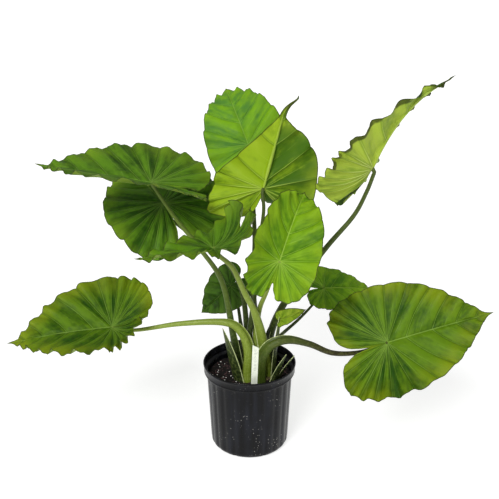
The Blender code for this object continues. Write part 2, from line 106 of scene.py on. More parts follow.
class Shader:
    """One material's node tree, written as expressions."""

    def __init__(self, name: str) -> None:
        """Start a material with a Principled shader.

        Args:
            name: The material's name.
        """
        self.material = bpy.data.materials.new(name)
        self.material.use_nodes = True
        self.tree = self.material.node_tree
        self.surface = self.tree.nodes["Principled BSDF"]

    def add(self, kind: str, settings: dict[str, Any], values: dict[Any, Any]) -> bpy.types.Node:
        """Add a node.

        Args:
            kind: The node's type.
            settings: Its properties, set first; "stops" sets a ramp's places and colours.
            values: Numbers, colours or wires for its sockets, by name or number.

        Returns:
            The node.
        """
        node = self.tree.nodes.new(kind)
        for key, value in settings.items():
            if key == "stops":
                self._set_stops(node.color_ramp, value)
            else:
                setattr(node, key, value)
        for key, value in values.items():
            self.feed(node.inputs[key], value)
        return node

    @staticmethod
    def _set_stops(ramp: bpy.types.ColorRamp, stops: list[tuple[float, Color]]) -> None:
        """Give a ramp its places and colours.

        Args:
            ramp: The ramp to fill.
            stops: Place and colour of each stop, in order.
        """
        while len(ramp.elements) < len(stops):
            ramp.elements.new(0.5)
        for element, (place, color) in zip(ramp.elements, stops):
            element.position = place
            element.color = (*color, 1.0)

    def feed(self, socket: bpy.types.NodeSocket, value: Any) -> None:
        """Set or link one input.

        Args:
            socket: The input.
            value: A wire to link, or a number or colour to set.
        """
        if isinstance(value, Wire):
            self.tree.links.new(value.socket, socket)
        elif isinstance(value, tuple) and len(value) == 3 and len(socket.default_value) == 4:
            socket.default_value = (*value, 1.0)
        else:
            socket.default_value = value

    def math(self, operation: str, first: Value, second: Value) -> Wire:
        """One sum on two values."""
        node = self.add("ShaderNodeMath", {"operation": operation}, {0: first, 1: second})
        return Wire(self, node.outputs[0])

    def attribute(self, name: str) -> Wire:
        """A number stored on the mesh."""
        node = self.add("ShaderNodeAttribute", {"attribute_name": name}, {})
        return Wire(self, node.outputs["Fac"])

    def place(self, scale: Point) -> Wire:
        """Object coordinates, stretched along the axes.

        Args:
            scale: How many pattern units a metre holds along X, Y and Z.

        Returns:
            The stretched place.
        """
        source = self.add("ShaderNodeTexCoord", {}, {})
        here = Wire(self, source.outputs["Object"])
        mapping = self.add("ShaderNodeMapping", {}, {"Vector": here, "Scale": scale})
        return Wire(self, mapping.outputs[0])

    def noise(self, place: Wire, scale: float, detail: float = 3.0) -> Wire:
        """Cloudy noise from about 0.25 to 0.75."""
        node = self.add("ShaderNodeTexNoise", {}, {"Vector": place, "Scale": scale, "Detail": detail})
        return Wire(self, node.outputs[0])

    def cells(self, place: Wire, scale: float, feature: str = "F1") -> Wire:
        """Distance within a random cell pattern."""
        node = self.add("ShaderNodeTexVoronoi", {"feature": feature}, {"Vector": place, "Scale": scale})
        return Wire(self, node.outputs["Distance"])

    def fade(self, value: Value, start: float, end: float) -> Wire:
        """Smooth step, 0 at start and 1 at end, in either direction."""
        low, high, first, last = (start, end, 0.0, 1.0) if start < end else (end, start, 1.0, 0.0)
        node = self.add(
            "ShaderNodeMapRange",
            {"interpolation_type": "SMOOTHSTEP"},
            {"Value": value, "From Min": low, "From Max": high, "To Min": first, "To Max": last},
        )
        return Wire(self, node.outputs[0])

    def blend(self, share: Value, first: Any, second: Any) -> Wire:
        """Colour between two colours."""
        node = self.add("ShaderNodeMix", {"data_type": "RGBA"}, {0: share, 6: first, 7: second})
        return Wire(self, node.outputs[2])

    def finish(
        self,
        color: Any,
        roughness: Value,
        height: Wire,
        relief: float,
        fixed: dict[str, Any],
    ) -> bpy.types.Material:
        """Wire the surface.

        Args:
            color: Base colour.
            roughness: Surface roughness.
            height: Bump height, from 0 to 1.
            relief: What that height measures, in metres.
            fixed: Other inputs of the surface that are the same all over.

        Returns:
            The finished material.
        """
        bump = self.add("ShaderNodeBump", {}, {"Height": height, "Distance": relief, "Strength": 1.0})
        self.feed(self.surface.inputs["Base Color"], color)
        self.feed(self.surface.inputs["Roughness"], roughness)
        self.feed(self.surface.inputs["Normal"], Wire(self, bump.outputs[0]))
        for key, value in fixed.items():
            self.feed(self.surface.inputs[key], value)
        return self.material


# Finishes


@dataclass(frozen=True)
class BladeSkin:
    """Waxy skin of one side of a leaf blade, with its veins."""

    deep: Color
    bright: Color
    vein: Color
    margin: Color
    rim: Color = (0.026, 0.034, 0.004)
    rim_width: float = 0.0032
    streaks_per_vein: float = 5.0
    streak_breaks: float = 3.0
    relief: float = 0.0007
    vein_width: float = 0.0013
    vein_strength: float = 0.36
    vein_shadow: float = 0.45
    yellowing: float = 0.5
    rolled: float = 0.0
    dried_tip: float = 0.0
    roughness: float = 0.46

    def material(self, name: str) -> bpy.types.Material:
        """Build the skin.

        Args:
            name: The material's name.

        Returns:
            The material.
        """
        shader = Shader(name)
        place = shader.place((1.0, 1.0, 1.0))
        cloud = shader.noise(place, 11.0)
        mottle = shader.noise(place, 70.0)
        vein = shader.attribute("vein_gap")
        twig = shader.attribute("twig_gap")
        rib = shader.attribute("rib_gap")
        edge = shader.attribute("edge_gap")
        slope = shader.attribute("slope")
        # tone: random tone per vein spacing, plus the leaf's painted shade on one half and painted light on
        # the other.
        tone = shader.attribute("tone")
        wide = self.vein_width
        across = shader.attribute("phase") * self.streaks_per_vein
        along = shader.attribute("out") * self.streak_breaks
        fan = shader.add("ShaderNodeCombineXYZ", {}, {0: across, 1: along})
        streak = shader.noise(Wire(shader, fan.outputs[0]), 1.0, 5.0)
        near = shader.fade(edge, 0.012, 0.085)
        # Painted light and shade: the pucker term lightens one side of each bulge between two veins and
        # darkens the other.
        mixture = cloud * 0.6 + tone * 0.4 + streak * 0.9 + mottle * 0.4 + slope * 0.16
        body_share = shader.fade(mixture, 0.72, 1.42)
        body = shader.blend(body_share, self.deep, self.bright)
        yellow = shader.fade(edge, 0.070, 0.0) * shader.fade(cloud, 0.30, 0.66) * self.yellowing
        body = shader.blend(yellow, body, self.margin)
        main_line = shader.fade(vein, wide, wide * 0.2) * (0.30 + 0.70 * near)
        twig_line = shader.fade(twig, wide * 0.6, 0.0) * shader.fade(streak, 0.35, 0.60) * near * 0.9
        rib_line = shader.fade(rib, wide * 1.6, wide * 0.6) * (0.55 + 0.45 * near)
        lines = shader.math("MAXIMUM", shader.math("MAXIMUM", main_line, twig_line), rib_line)
        groove = shader.fade(vein, wide * 4.0, wide * 0.9) * (1.0 - lines)
        body = shader.blend(groove * self.vein_shadow, body, self.deep)
        body = shader.blend(lines * self.vein_strength, body, self.vein)
        patches = shader.fade(edge, 0.015, 0.010) * shader.fade(cloud, 0.46, 0.52)
        body = shader.blend(patches * self.rolled, body, self.rim)
        dried = shader.fade(shader.attribute("reach"), 0.80, 0.92) * self.dried_tip
        body = shader.blend(dried, body, self.rim)
        body = shader.blend(shader.fade(edge, self.rim_width, self.rim_width * 0.375) * 0.85, body, self.rim)
        net = shader.cells(place, 330.0, "DISTANCE_TO_EDGE")
        height = shader.fade(net, 0.0, 0.12) * 0.25 + mottle * 0.9 + (1.0 - lines) * 0.3 + streak * 2.2
        roughness = self.roughness + (mottle - 0.5) * 0.25 + lines * 0.08
        fixed = {
            "Subsurface Weight": 0.05,
            "Subsurface Radius": (0.004, 0.007, 0.0015),
            "Subsurface Scale": 1.0,
            "Specular IOR Level": 0.11,
        }
        return shader.finish(body, roughness, height, self.relief, fixed)


@dataclass(frozen=True)
class StalkSkin:
    """Smooth skin of a stalk, with its streaks and the pale margins of its sheath."""

    foot: Color
    head: Color
    streak: Color
    margin: Color = (0.46, 0.52, 0.24)
    roughness: float = 0.36

    def material(self, name: str) -> bpy.types.Material:
        """Build the skin.

        Args:
            name: The material's name.

        Returns:
            The material.
        """
        shader = Shader(name)
        place = shader.place((1.0, 1.0, 1.0))
        along = shader.attribute("along")
        wing = shader.attribute("wing")
        turn = shader.attribute("turn")
        cloud = shader.noise(place, 16.0)
        flecks = shader.noise(place, 140.0)
        body = shader.blend(shader.fade(along + (cloud - 0.5) * 0.10, 0.02, 0.30), self.foot, self.head)
        lines = shader.math("SINE", turn * 17.0 + flecks * 3.0, 0.0) * 0.5 + 0.5
        body = shader.blend(lines * shader.fade(flecks, 0.45, 0.62) * 0.55, body, self.streak)
        body = shader.blend(shader.fade(wing + (flecks - 0.5) * 0.5, 0.62, 0.90), body, self.margin)
        height = lines * 0.5 + flecks * 0.5
        roughness = self.roughness + (cloud - 0.5) * 0.3
        fixed = {"Specular IOR Level": 0.16}
        return shader.finish(body, roughness, height, 0.0003, fixed)


@dataclass(frozen=True)
class SheathSkin:
    """Withered, fibrous skin of the crown and of the old sheath ends."""

    pale: Color = (0.30, 0.24, 0.10)
    dark: Color = (0.045, 0.034, 0.014)
    fresh: Color = (0.085, 0.12, 0.030)

    def material(self, name: str) -> bpy.types.Material:
        """Build the skin.

        Args:
            name: The material's name.

        Returns:
            The material.
        """
        shader = Shader(name)
        fibre = shader.noise(shader.place((1.0, 1.0, 0.10)), 420.0)
        cloud = shader.noise(shader.place((1.0, 1.0, 1.0)), 45.0)
        body = shader.blend(shader.fade(fibre, 0.40, 0.66), self.dark, self.pale)
        body = shader.blend(shader.fade(cloud, 0.45, 0.60) * 0.8, body, self.fresh)
        return shader.finish(body, 0.62 + (fibre - 0.5) * 0.3, fibre, 0.0012, {"Specular IOR Level": 0.3})


@dataclass(frozen=True)
class PotPlastic:
    """Black recycled moulded plastic: soft sheen, painted bluish reflection streaks running upright, scuffs
    and dried water marks.
    """

    black: Color = (0.0016, 0.0017, 0.0022)
    grey: Color = (0.0090, 0.0100, 0.0150)
    dust: Color = (0.30, 0.29, 0.26)

    def material(self, name: str) -> bpy.types.Material:
        """Build the plastic.

        Args:
            name: The material's name.

        Returns:
            The material.
        """
        shader = Shader(name)
        place = shader.place((1.0, 1.0, 1.0))
        streak = shader.noise(shader.place((1.0, 1.0, 0.05)), 60.0, 4.0)
        scuff = shader.noise(shader.place((1.0, 1.0, 2.5)), 90.0, 5.0)
        cloud = shader.noise(place, 14.0)
        speck = shader.cells(place, 120.0)
        grain = shader.noise(place, 900.0, 2.0)
        # Painted reflection: bluish grey in upright streaks and cloudy patches over the black.
        body = shader.blend(shader.fade(streak * 0.6 + cloud * 0.4, 0.42, 0.70), self.black, self.grey)
        spots = shader.fade(speck, 0.17, 0.09) * shader.fade(cloud, 0.48, 0.60)
        marks = shader.math("MINIMUM", spots + shader.fade(scuff, 0.66, 0.80) * 0.25, 1.0)
        body = shader.blend(marks, body, self.dust)
        roughness = 0.30 + (streak - 0.5) * 0.45 + (cloud - 0.5) * 0.2 + marks * 0.3
        height = grain * 0.6 + scuff * 0.4
        return shader.finish(body, roughness, height, 0.00018, {"Specular IOR Level": 0.17})


@dataclass(frozen=True)
class EarthFinish:
    """Damp dark potting mix or one of the bits in it."""

    dark: Color
    light: Color
    scale: float = 260.0
    relief: float = 0.0016
    roughness: float = 0.86

    def material(self, name: str) -> bpy.types.Material:
        """Build the finish.

        Args:
            name: The material's name.

        Returns:
            The material.
        """
        shader = Shader(name)
        place = shader.place((1.0, 1.0, 1.0))
        crumbs = shader.cells(place, self.scale)
        cloud = shader.noise(place, self.scale * 0.45)
        body = shader.blend(shader.fade(cloud * 0.7 + crumbs * 0.5, 0.30, 0.72), self.dark, self.light)
        roughness = self.roughness + (cloud - 0.5) * 0.3
        return shader.finish(body, roughness, crumbs, self.relief, {"Specular IOR Level": 0.15})


@dataclass(frozen=True)
class SheetPlastic:
    """Thin white label plastic, a little weathered."""

    white: Color = (0.70, 0.74, 0.62)
    worn: Color = (0.54, 0.57, 0.47)

    def material(self, name: str) -> bpy.types.Material:
        """Build the plastic.

        Args:
            name: The material's name.

        Returns:
            The material.
        """
        shader = Shader(name)
        place = shader.place((1.0, 1.0, 0.4))
        cloud = shader.noise(place, 90.0)
        grain = shader.noise(place, 900.0)
        body = shader.blend(shader.fade(cloud, 0.42, 0.68) * 0.6, self.white, self.worn)
        return shader.finish(body, 0.38 + (cloud - 0.5) * 0.2, grain, 0.0001, {})


@dataclass(frozen=True)
class PlainMatt:
    """Even matt surface of the studio floor or of print."""

    color: Color
    glow: float = 0.0

    def material(self, name: str) -> bpy.types.Material:
        """Build the surface.

        Args:
            name: The material's name.

        Returns:
            The material.
        """
        shader = Shader(name)
        grain = shader.noise(shader.place((1.0, 1.0, 1.0)), 300.0)
        fixed = {"Emission Color": (1.0, 1.0, 1.0), "Emission Strength": self.glow}
        return shader.finish(self.color, 0.9, grain, 0.00002, fixed)


# Where everything stands, in metres from the middle of the pot's underside


@dataclass(frozen=True)
class PlantPlan:
    """Levels and places that the pieces share."""

    pot_height: float = 0.248
    rim_radius: float = 0.127
    collar_height: float = 0.026
    collar_step: float = 0.0095
    body_taper: float = 0.0105
    headspace: float = 0.040
    crown_x: float = 0.015
    crown_radius: float = 0.064
    crown_rise: float = 0.010

    @property
    def soil_top(self) -> float:
        """Level of the potting mix."""
        return self.pot_height - self.headspace

    @property
    def crown_top(self) -> np.ndarray:
        """Middle of the crown's top, from which the leaves are placed."""
        return np.array([self.crown_x, 0.0, self.soil_top + self.crown_rise])


PLAN = PlantPlan()


class Slot(Enum):
    """Material slots of the part's record."""

    POT = "pot_plastic"
    SOIL = "potting_mix"
    CROWN = "crown_skin"
    BLADE = "leaf_blade"
    STALK = "leaf_stalk"
    LABEL = "label_plastic"


def new_object(name: str, mesh: bpy.types.Mesh, materials: list[bpy.types.Material]) -> bpy.types.Object:
    """Put a mesh in the scene.

    Args:
        name: The piece's name.
        mesh: Its mesh.
        materials: Its materials, in slot order.

    Returns:
        The object.
    """
    piece = bpy.data.objects.new(name, mesh)
    for material in materials:
        mesh.materials.append(material)
    bpy.context.scene.collection.objects.link(piece)
    return piece


def hand_over(piece: bpy.types.Object, nodes: tuple[str, ...] = ()) -> None:
    """Tie a finished piece to the frame.

    Args:
        piece: The finished piece.
        nodes: The frame's nodes that it stands for.
    """
    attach(piece, BODY)
    if nodes:
        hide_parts(*nodes)
    LOG.info("%s: %d faces", piece.name, len(piece.data.polygons))


def mesh_from_grid(name: str, grid: np.ndarray, closed_rows: bool, capped: bool) -> bpy.types.Mesh:
    """A mesh over a grid of points.

    Args:
        name: The mesh's name.
        grid: Points, indexed by ring and then by place along the ring.
        closed_rows: Whether each ring closes on itself.
        capped: Whether the first and last ring are filled.

    Returns:
        The smooth mesh.
    """
    rings, places = grid.shape[:2]
    ring = np.arange(rings - 1)[:, None] * places
    here = np.arange(places if closed_rows else places - 1)[None, :]
    after = (here + 1) % places
    corners = [ring + here, ring + after, ring + places + after, ring + places + here]
    quads = np.stack(corners, axis=-1).reshape(-1, 4)
    faces = [tuple(int(i) for i in quad) for quad in quads]
    if capped:
        faces.append(tuple(range(places - 1, -1, -1)))
        faces.append(tuple(range((rings - 1) * places, rings * places)))
    mesh = bpy.data.meshes.new(name)
    mesh.from_pydata(grid.reshape(-1, 3).tolist(), [], faces)
    mesh.shade_smooth()
    return mesh


def store(mesh: bpy.types.Mesh, name: str, values: np.ndarray) -> None:
    """Store a number at each point of a mesh.

    Args:
        mesh: The mesh.
        name: The attribute's name.
        values: One number for each point.
    """
    layer = mesh.attributes.new(name, "FLOAT", "POINT")
    layer.data.foreach_set("value", np.ascontiguousarray(values, dtype=np.float32).ravel())


# Leaves


@dataclass(frozen=True)
class Leaf:
    """One leaf: how its blade hangs and is bent, its stalk's way, and its own look.

    Places are measured from the middle of the crown's top.
    """

    name: str
    node: Point
    tip: Point
    face: Point
    length: float
    width: float
    lobe: float
    fold: tuple[float, float]
    curl: tuple[float, float]
    droop: float
    lobe_droop: tuple[float, float]
    base: tuple[float, float]
    route: tuple[Point, ...]
    stalk_radius: tuple[float, float]
    fullness: tuple[float, float] = (0.58, 0.58)
    spread: float = 0.46
    point: tuple[float, float] = (0.84, 0.16)
    notch: float = 0.28
    spike: float = 0.0
    sway: float = 0.0
    # Painted light and shade: tone offsets for the left and right halves, darkening one half of the blade and
    # lightening the other.
    painted_half_shade: tuple[float, float] = (0.0, 0.0)
    upper: BladeSkin = field(default_factory=lambda: UPPER_MID)
    under: BladeSkin = field(default_factory=lambda: UNDER_MID)
    stalk: StalkSkin = field(default_factory=lambda: STALK_MID)
    veins: int = 10
    ruffle: float = 0.0055
    quilting: float = 0.10
    drip: float = 0.010
    drip_curl: float = 30.0
    sheath: float = 0.12
    seed: int = 1


VEIN_PALE = (0.25, 0.40, 0.07)
UPPER_MID = BladeSkin(
    (0.014, 0.048, 0.0014), (0.082, 0.190, 0.007), VEIN_PALE, (0.18, 0.28, 0.012),
    vein_strength=0.5,
)
UNDER_MID = BladeSkin(
    (0.10, 0.18, 0.014), (0.20, 0.31, 0.030), (0.38, 0.48, 0.11), (0.30, 0.38, 0.05),
    vein_strength=0.6, yellowing=0.3,
)
UPPER_LOW = BladeSkin(
    (0.014, 0.050, 0.0012), (0.090, 0.175, 0.0040), VEIN_PALE, (0.20, 0.25, 0.006),
    vein_strength=0.5, yellowing=0.7,
)
# Painted shade: a darker copy of the upper skin for blade tops that sit in shade (the inner leaf and the
# upper side of right_high).
UPPER_SHADED = BladeSkin(
    (0.007, 0.026, 0.0012), (0.042, 0.108, 0.006), (0.13, 0.22, 0.04), (0.10, 0.17, 0.015),
    yellowing=0.3,
)
UPPER_BLUE = BladeSkin(
    (0.060, 0.180, 0.022), (0.150, 0.320, 0.007), (0.28, 0.46, 0.08), (0.17, 0.32, 0.01),
    vein_shadow=0.45,
)
UPPER_LIGHT = BladeSkin(
    (0.050, 0.145, 0.002), (0.160, 0.310, 0.006), (0.38, 0.56, 0.09), (0.24, 0.35, 0.01),
    vein_shadow=0.5, vein_strength=0.5,
)
UNDER_BRIGHT = BladeSkin(
    (0.045, 0.115, 0.002), (0.235, 0.365, 0.008), (0.40, 0.54, 0.08), (0.34, 0.44, 0.03),
    vein_strength=0.6, yellowing=0.4, dried_tip=0.85,
)
UNDER_PALE = BladeSkin(
    (0.15, 0.25, 0.016), (0.34, 0.45, 0.042), (0.50, 0.60, 0.16), (0.42, 0.50, 0.08),
    vein_strength=0.6, vein_shadow=0.65, yellowing=0.3, rolled=0.85, dried_tip=0.85,
)
UNDER_YOUNG = BladeSkin((0.16, 0.27, 0.012), (0.32, 0.44, 0.025), (0.46, 0.58, 0.12), (0.40, 0.50, 0.05))
STALK_MID = StalkSkin((0.022, 0.040, 0.008), (0.115, 0.170, 0.026), (0.19, 0.25, 0.06))
STALK_DARK = StalkSkin((0.014, 0.024, 0.006), (0.055, 0.080, 0.016), (0.12, 0.15, 0.04))
STALK_BRIGHT = StalkSkin((0.15, 0.21, 0.020), (0.20, 0.265, 0.040), (0.31, 0.38, 0.09))
STALK_OLIVE = StalkSkin((0.070, 0.112, 0.014), (0.028, 0.024, 0.008), (0.13, 0.14, 0.04))

LEAVES: tuple[Leaf, ...] = (
    Leaf(
        "right_low", (0.350, -0.060, 0.118), (0.93, -0.07, 0.36), (-0.05, -0.75, 0.66),
        0.275, 0.310, 0.140, (4, 14), (6, 6), 12, (10, -8),
        (0.015, -0.047),
        ((0.019, -0.049, 0.062), (0.043, -0.048, 0.102), (0.087, -0.044, 0.116),
         (0.145, -0.035, 0.100), (0.210, -0.030, 0.070), (0.285, -0.020, 0.067)),
        (0.0145, 0.0050), fullness=(0.58, 0.60), spread=0.55, notch=0.34,
        upper=UPPER_LOW, stalk=STALK_OLIVE, veins=13, ruffle=0.0075, sheath=0.20, seed=3,
    ),
    Leaf(
        "left_low", (-0.383, -0.020, 0.143), (-1.0, -0.10, -0.06), (0.0, -0.33, 0.94),
        0.275, 0.310, 0.115, (22, 18), (10, 5), 14, (-58, -12),
        (-0.021, -0.042),
        ((-0.019, -0.038, 0.077), (-0.037, -0.026, 0.129), (-0.083, -0.014, 0.154),
         (-0.202, -0.010, 0.148), (-0.315, -0.005, 0.127)),
        (0.0145, 0.0045), upper=UPPER_LOW, stalk=STALK_BRIGHT, veins=13, ruffle=0.0075, sheath=0.20, seed=4,
    ),
    Leaf(
        "left_high", (-0.265, 0.020, 0.534), (-1.0, 0.0, 0.18), (0.0, -0.05, 1.0),
        0.290, 0.320, 0.145, (19, 17), (4, 6), 4, (10, 10),
        (-0.047, -0.008),
        ((-0.060, 0.010, 0.112), (-0.089, 0.040, 0.250), (-0.148, 0.032, 0.351), (-0.206, 0.022, 0.435)),
        (0.0120, 0.0045), veins=12, seed=5,
    ),
    Leaf(
        "left_back", (-0.252, 0.150, 0.436), (-0.52, 0.77, 0.30), (-0.10, -0.35, 0.93),
        0.240, 0.320, 0.150, (0, 0), (0, 0), 10, (55, 55),
        (-0.021, 0.022),
        ((-0.023, 0.030, 0.112), (-0.034, 0.045, 0.212), (-0.064, 0.080, 0.270),
         (-0.118, 0.130, 0.308), (-0.182, 0.170, 0.338), (-0.235, 0.180, 0.380)),
        (0.0095, 0.0040), upper=UPPER_MID, stalk=STALK_DARK, veins=12, seed=6,
    ),
    Leaf(
        "back", (-0.018, 0.140, 0.602), (-0.35, 0.45, 0.82), (-0.05, -0.88, 0.46),
        0.203, 0.220, 0.120, (0, 0), (0, 0), 55, (10, 10),
        (0.007, 0.018),
        ((0.003, 0.030, 0.112), (-0.005, 0.050, 0.232), (-0.001, 0.075, 0.357),
         (-0.007, 0.125, 0.482), (-0.014, 0.165, 0.565)),
        (0.0105, 0.0045), point=(0.96, 0.36), upper=UPPER_BLUE, stalk=STALK_DARK, veins=11, seed=7,
    ),
    Leaf(
        "centre", (0.020, 0.000, 0.524), (0.25, 0.05, 0.96), (0.10, 1.0, 0.10),
        0.238, 0.262, 0.100, (0, 12), (0, 6), 0, (-130, 10),
        (-0.023, -0.006),
        ((-0.015, -0.002, 0.112), (-0.005, -0.010, 0.202), (0.007, -0.020, 0.322),
         (0.013, -0.028, 0.402), (0.021, -0.026, 0.475)),
        (0.0100, 0.0045), fullness=(0.74, 0.0), spread=0.92, spike=0.20, sway=0.024,
        under=UNDER_BRIGHT, stalk=STALK_DARK, painted_half_shade=(-0.9, 0.5), veins=9, seed=8,
    ),
    Leaf(
        "left_front", (-0.104, -0.125, 0.411), (-0.92, -0.36, -0.02), (0.0, 0.12, 1.0),
        0.190, 0.205, 0.152, (10, 12), (0, 0), 0, (-95, -95),
        (0.035, -0.016),
        ((0.025, -0.020, 0.092), (0.002, -0.045, 0.191), (-0.027, -0.060, 0.261),
         (-0.057, -0.080, 0.339), (-0.088, -0.103, 0.380)),
        (0.0145, 0.0055), fullness=(0.25, 0.25), spread=0.60,
        upper=UPPER_MID, veins=9, ruffle=0.0085, sheath=0.22, stalk=STALK_BRIGHT, seed=9,
    ),
    Leaf(
        "front", (0.058, -0.160, 0.391), (0.30, 0.25, 0.92), (-0.15, -0.95, 0.35),
        0.186, 0.196, 0.095, (60, 8), (0, 10), 55, (10, 10),
        (0.003, -0.012),
        ((0.003, -0.010, 0.112), (0.011, -0.022, 0.195), (0.027, -0.080, 0.270), (0.044, -0.125, 0.340)),
        (0.0100, 0.0045), fullness=(0.72, 0.62), spread=0.30, point=(0.98, 0.36), notch=0.60,
        upper=UPPER_LIGHT, stalk=STALK_BRIGHT, veins=11, seed=10,
    ),
    Leaf(
        "right_high", (0.292, 0.000, 0.578), (0.40, 0.10, 0.90), (-0.80, 0.30, 0.40),
        0.298, 0.270, 0.150, (6, 44), (0, 0), 42, (-38, -45),
        (0.037, 0.020),
        ((0.045, 0.020, 0.112), (0.088, 0.010, 0.216), (0.182, 0.000, 0.360),
         (0.250, 0.000, 0.448), (0.280, 0.000, 0.510)),
        (0.0125, 0.0050), fullness=(0.40, 0.0), spread=0.74, point=(0.72, 0.08),
        upper=UPPER_SHADED, under=UNDER_PALE, stalk=STALK_DARK, ruffle=0.0105, veins=12, seed=11,
    ),
    Leaf(
        "right_back", (0.194, 0.120, 0.195), (1.0, 0.30, -0.10), (-0.10, -0.45, 0.88),
        0.160, 0.160, 0.058, (0, 0), (0, 0), 15, (10, 10),
        (0.019, 0.044),
        ((0.032, 0.046, 0.044), (0.080, 0.055, 0.088), (0.125, 0.075, 0.122), (0.168, 0.108, 0.156)),
        (0.0070, 0.0030), upper=UPPER_LIGHT, stalk=STALK_DARK, veins=9, ruffle=0.003, seed=12,
    ),
    Leaf(
        "young", (0.068, -0.020, 0.165), (0.85, -0.20, 0.45), (-0.40, -0.60, 0.55),
        0.080, 0.050, 0.012, (35, 35), (0, 0), -10, (0, 0),
        (0.051, 0.002), ((0.055, -0.006, 0.062), (0.062, -0.016, 0.115)),
        (0.0045, 0.0022), upper=UNDER_YOUNG, under=UNDER_YOUNG, stalk=STALK_BRIGHT, veins=7, ruffle=0.0008,
        drip=0.0, sheath=0.05, seed=13,
    ),
    Leaf(
        "inner", (-0.068, 0.115, 0.203), (-0.65, -0.05, -0.60), (-0.30, -0.80, 0.50),
        0.118, 0.130, 0.055, (0, 0), (0, 0), 10, (0, 0),
        (-0.033, 0.045), ((-0.036, 0.062, 0.072), (-0.045, 0.105, 0.130)),
        (0.0080, 0.0035), upper=UPPER_SHADED, stalk=STALK_DARK, veins=8, ruffle=0.002, drip=0.0, seed=14,
    ),
)


@dataclass
class Blade:
    """A leaf's blade: a thin sheet puckered between its veins, with a rib beneath and a wavy margin."""

    leaf: Leaf
    rows: int = 34
    steps_per_vein: int = 12
    thickness: float = 0.0010
    vein_slant: float = 0.90
    spike_at: float = 0.10
    spike_width: float = 0.016
    widest_at: float = 0.50
    lobe_at: float = 0.82
    side_pull: float = 0.55
    shoulder: float = 0.09
    notch_slit: float = 0.05
    notch_pull: float = 0.62
    flat_strip: float = 0.010
    scallop: float = 0.020
    vein_bow: float = 0.07
    rib_height: float = 0.0035
    vein_height: float = 0.0012

    @staticmethod
    def bezier(points: tuple[tuple[float, float], ...], t: np.ndarray) -> np.ndarray:
        """Points of a cubic curve.

        Args:
            points: Its four control points.
            t: Places along it, from 0 to 1.

        Returns:
            One point for each place.
        """
        a, b, c, d = (np.array(point) for point in points)
        t = t[:, None]
        s = 1.0 - t
        return s**3 * a + 3 * s**2 * t * b + 3 * s * t**2 * c + t**3 * d

    def outline(self, share: np.ndarray, side: float) -> np.ndarray:
        """Flat margin of one half.

        Args:
            share: Places along the margin, 0 at the tip and 1 in the notch.
            side: 1 for the left half and -1 for the right.

        Returns:
            The margin's points in metres, with the distance outwards above 0 on both sides.
        """
        leaf = self.leaf
        fullness = leaf.fullness[0] if side > 0 else leaf.fullness[1]
        spike_edge = self.spike_width / leaf.width if leaf.spike else 0.0
        spike_at = self.spike_at if leaf.spike else 0.0
        body = 1.0 - leaf.spike
        lobe_end = (-1.0, leaf.spread)
        shoulder = (-1.0, (1.0 + leaf.spread) / 2 + self.shoulder)
        limits = (0.0, spike_at, self.widest_at, self.lobe_at, 1.0)
        t = [np.clip((share - a) / max(b - a, 1e-6), 0, 1) for a, b in zip(limits, limits[1:])]
        spike = np.stack([1.0 - leaf.spike * t[0], spike_edge * np.sqrt(t[0])], axis=1)
        corner = (body * leaf.point[0], leaf.point[1])
        slit = (-max(self.notch_pull, leaf.notch), self.notch_slit)
        front = self.bezier(((body, spike_edge), corner, (fullness, 1.0), (0.0, 1.0)), t[1])
        behind = self.bezier(((0.0, 1.0), (-self.side_pull, 1.0), shoulder, lobe_end), t[2])
        inner = self.bezier((lobe_end, (-1.0, self.notch_slit), slit, (-leaf.notch, 0.0)), t[3])
        points = inner
        for limit, stretch in ((self.lobe_at, behind), (self.widest_at, front), (spike_at, spike)):
            points = np.where((share < limit)[:, None], stretch, points)
        reach = np.where(points[:, 0] > 0, leaf.length, leaf.lobe)
        margin = np.stack([points[:, 0] * reach, points[:, 1] * leaf.width / 2], axis=1)
        margin[:, 0] += leaf.drip * np.clip(1 - share / 0.04, 0, 1) ** 1.5
        return margin

    def phases(self) -> np.ndarray:
        """Places along the margin in vein spacings, closer together at each vein."""
        t = np.arange(self.steps_per_vein) / self.steps_per_vein
        near = 0.5 * (2 * np.minimum(t, 1 - t)) ** 1.6
        local = np.where(t < 0.5, near, 1 - near)
        stretches = [k + local for k in range(self.leaf.veins)]
        return np.append(np.concatenate(stretches), self.leaf.veins)

    def per_vein(self, phase: np.ndarray, low: float, high: float, salt: int) -> np.ndarray:
        """A random number that changes smoothly from one vein spacing to the next.

        Args:
            phase: Places in vein spacings.
            low: Lowest number.
            high: Highest number.
            salt: Tells one such number from another.

        Returns:
            One number for each place.
        """
        dice = np.random.default_rng(self.leaf.seed * 97 + salt)
        return np.interp(phase, np.arange(self.leaf.veins + 1), dice.uniform(low, high, self.leaf.veins + 1))

    def flat_half(self, side: float) -> tuple[np.ndarray, np.ndarray, np.ndarray]:
        """Flat grid of one half.

        Args:
            side: 1 for the left half and -1 for the right.

        Returns:
            Points by row and column, the rows' share of the way out, and the columns' phase.
        """
        phase = self.phases()
        share = phase / self.leaf.veins
        margin = self.outline(share, side)
        mean = (margin + self.outline(share, -side)) / 2
        start = np.maximum(mean[:, 0] - self.vein_slant * mean[:, 1], 0.0)
        start[0] = margin[0, 0]
        out = (np.arange(self.rows) / (self.rows - 1)) ** 1.5
        arches = 1.3 * np.abs(np.sin(math.pi * phase)) ** 0.7 - 0.9
        wave = self.scallop * arches * self.per_vein(phase, 0.4, 1.6, 1)
        wave *= np.clip((share - 0.02) / 0.08, 0, 1) * np.clip((1 - share) / 0.30, 0, 1)
        reach = out[:, None] * (1 + wave[None, :] * out[:, None] ** 2)
        bow = self.vein_bow * np.sin(math.pi * out)[:, None] * margin[None, :, 1]
        bow = bow * np.clip(start / 0.05, 0, 1)[None, :]
        x = start[None, :] + (margin[:, 0] - start)[None, :] * reach - bow
        flat = np.stack([x, margin[None, :, 1] * reach], axis=-1)
        return flat * (1.0, side), out, phase

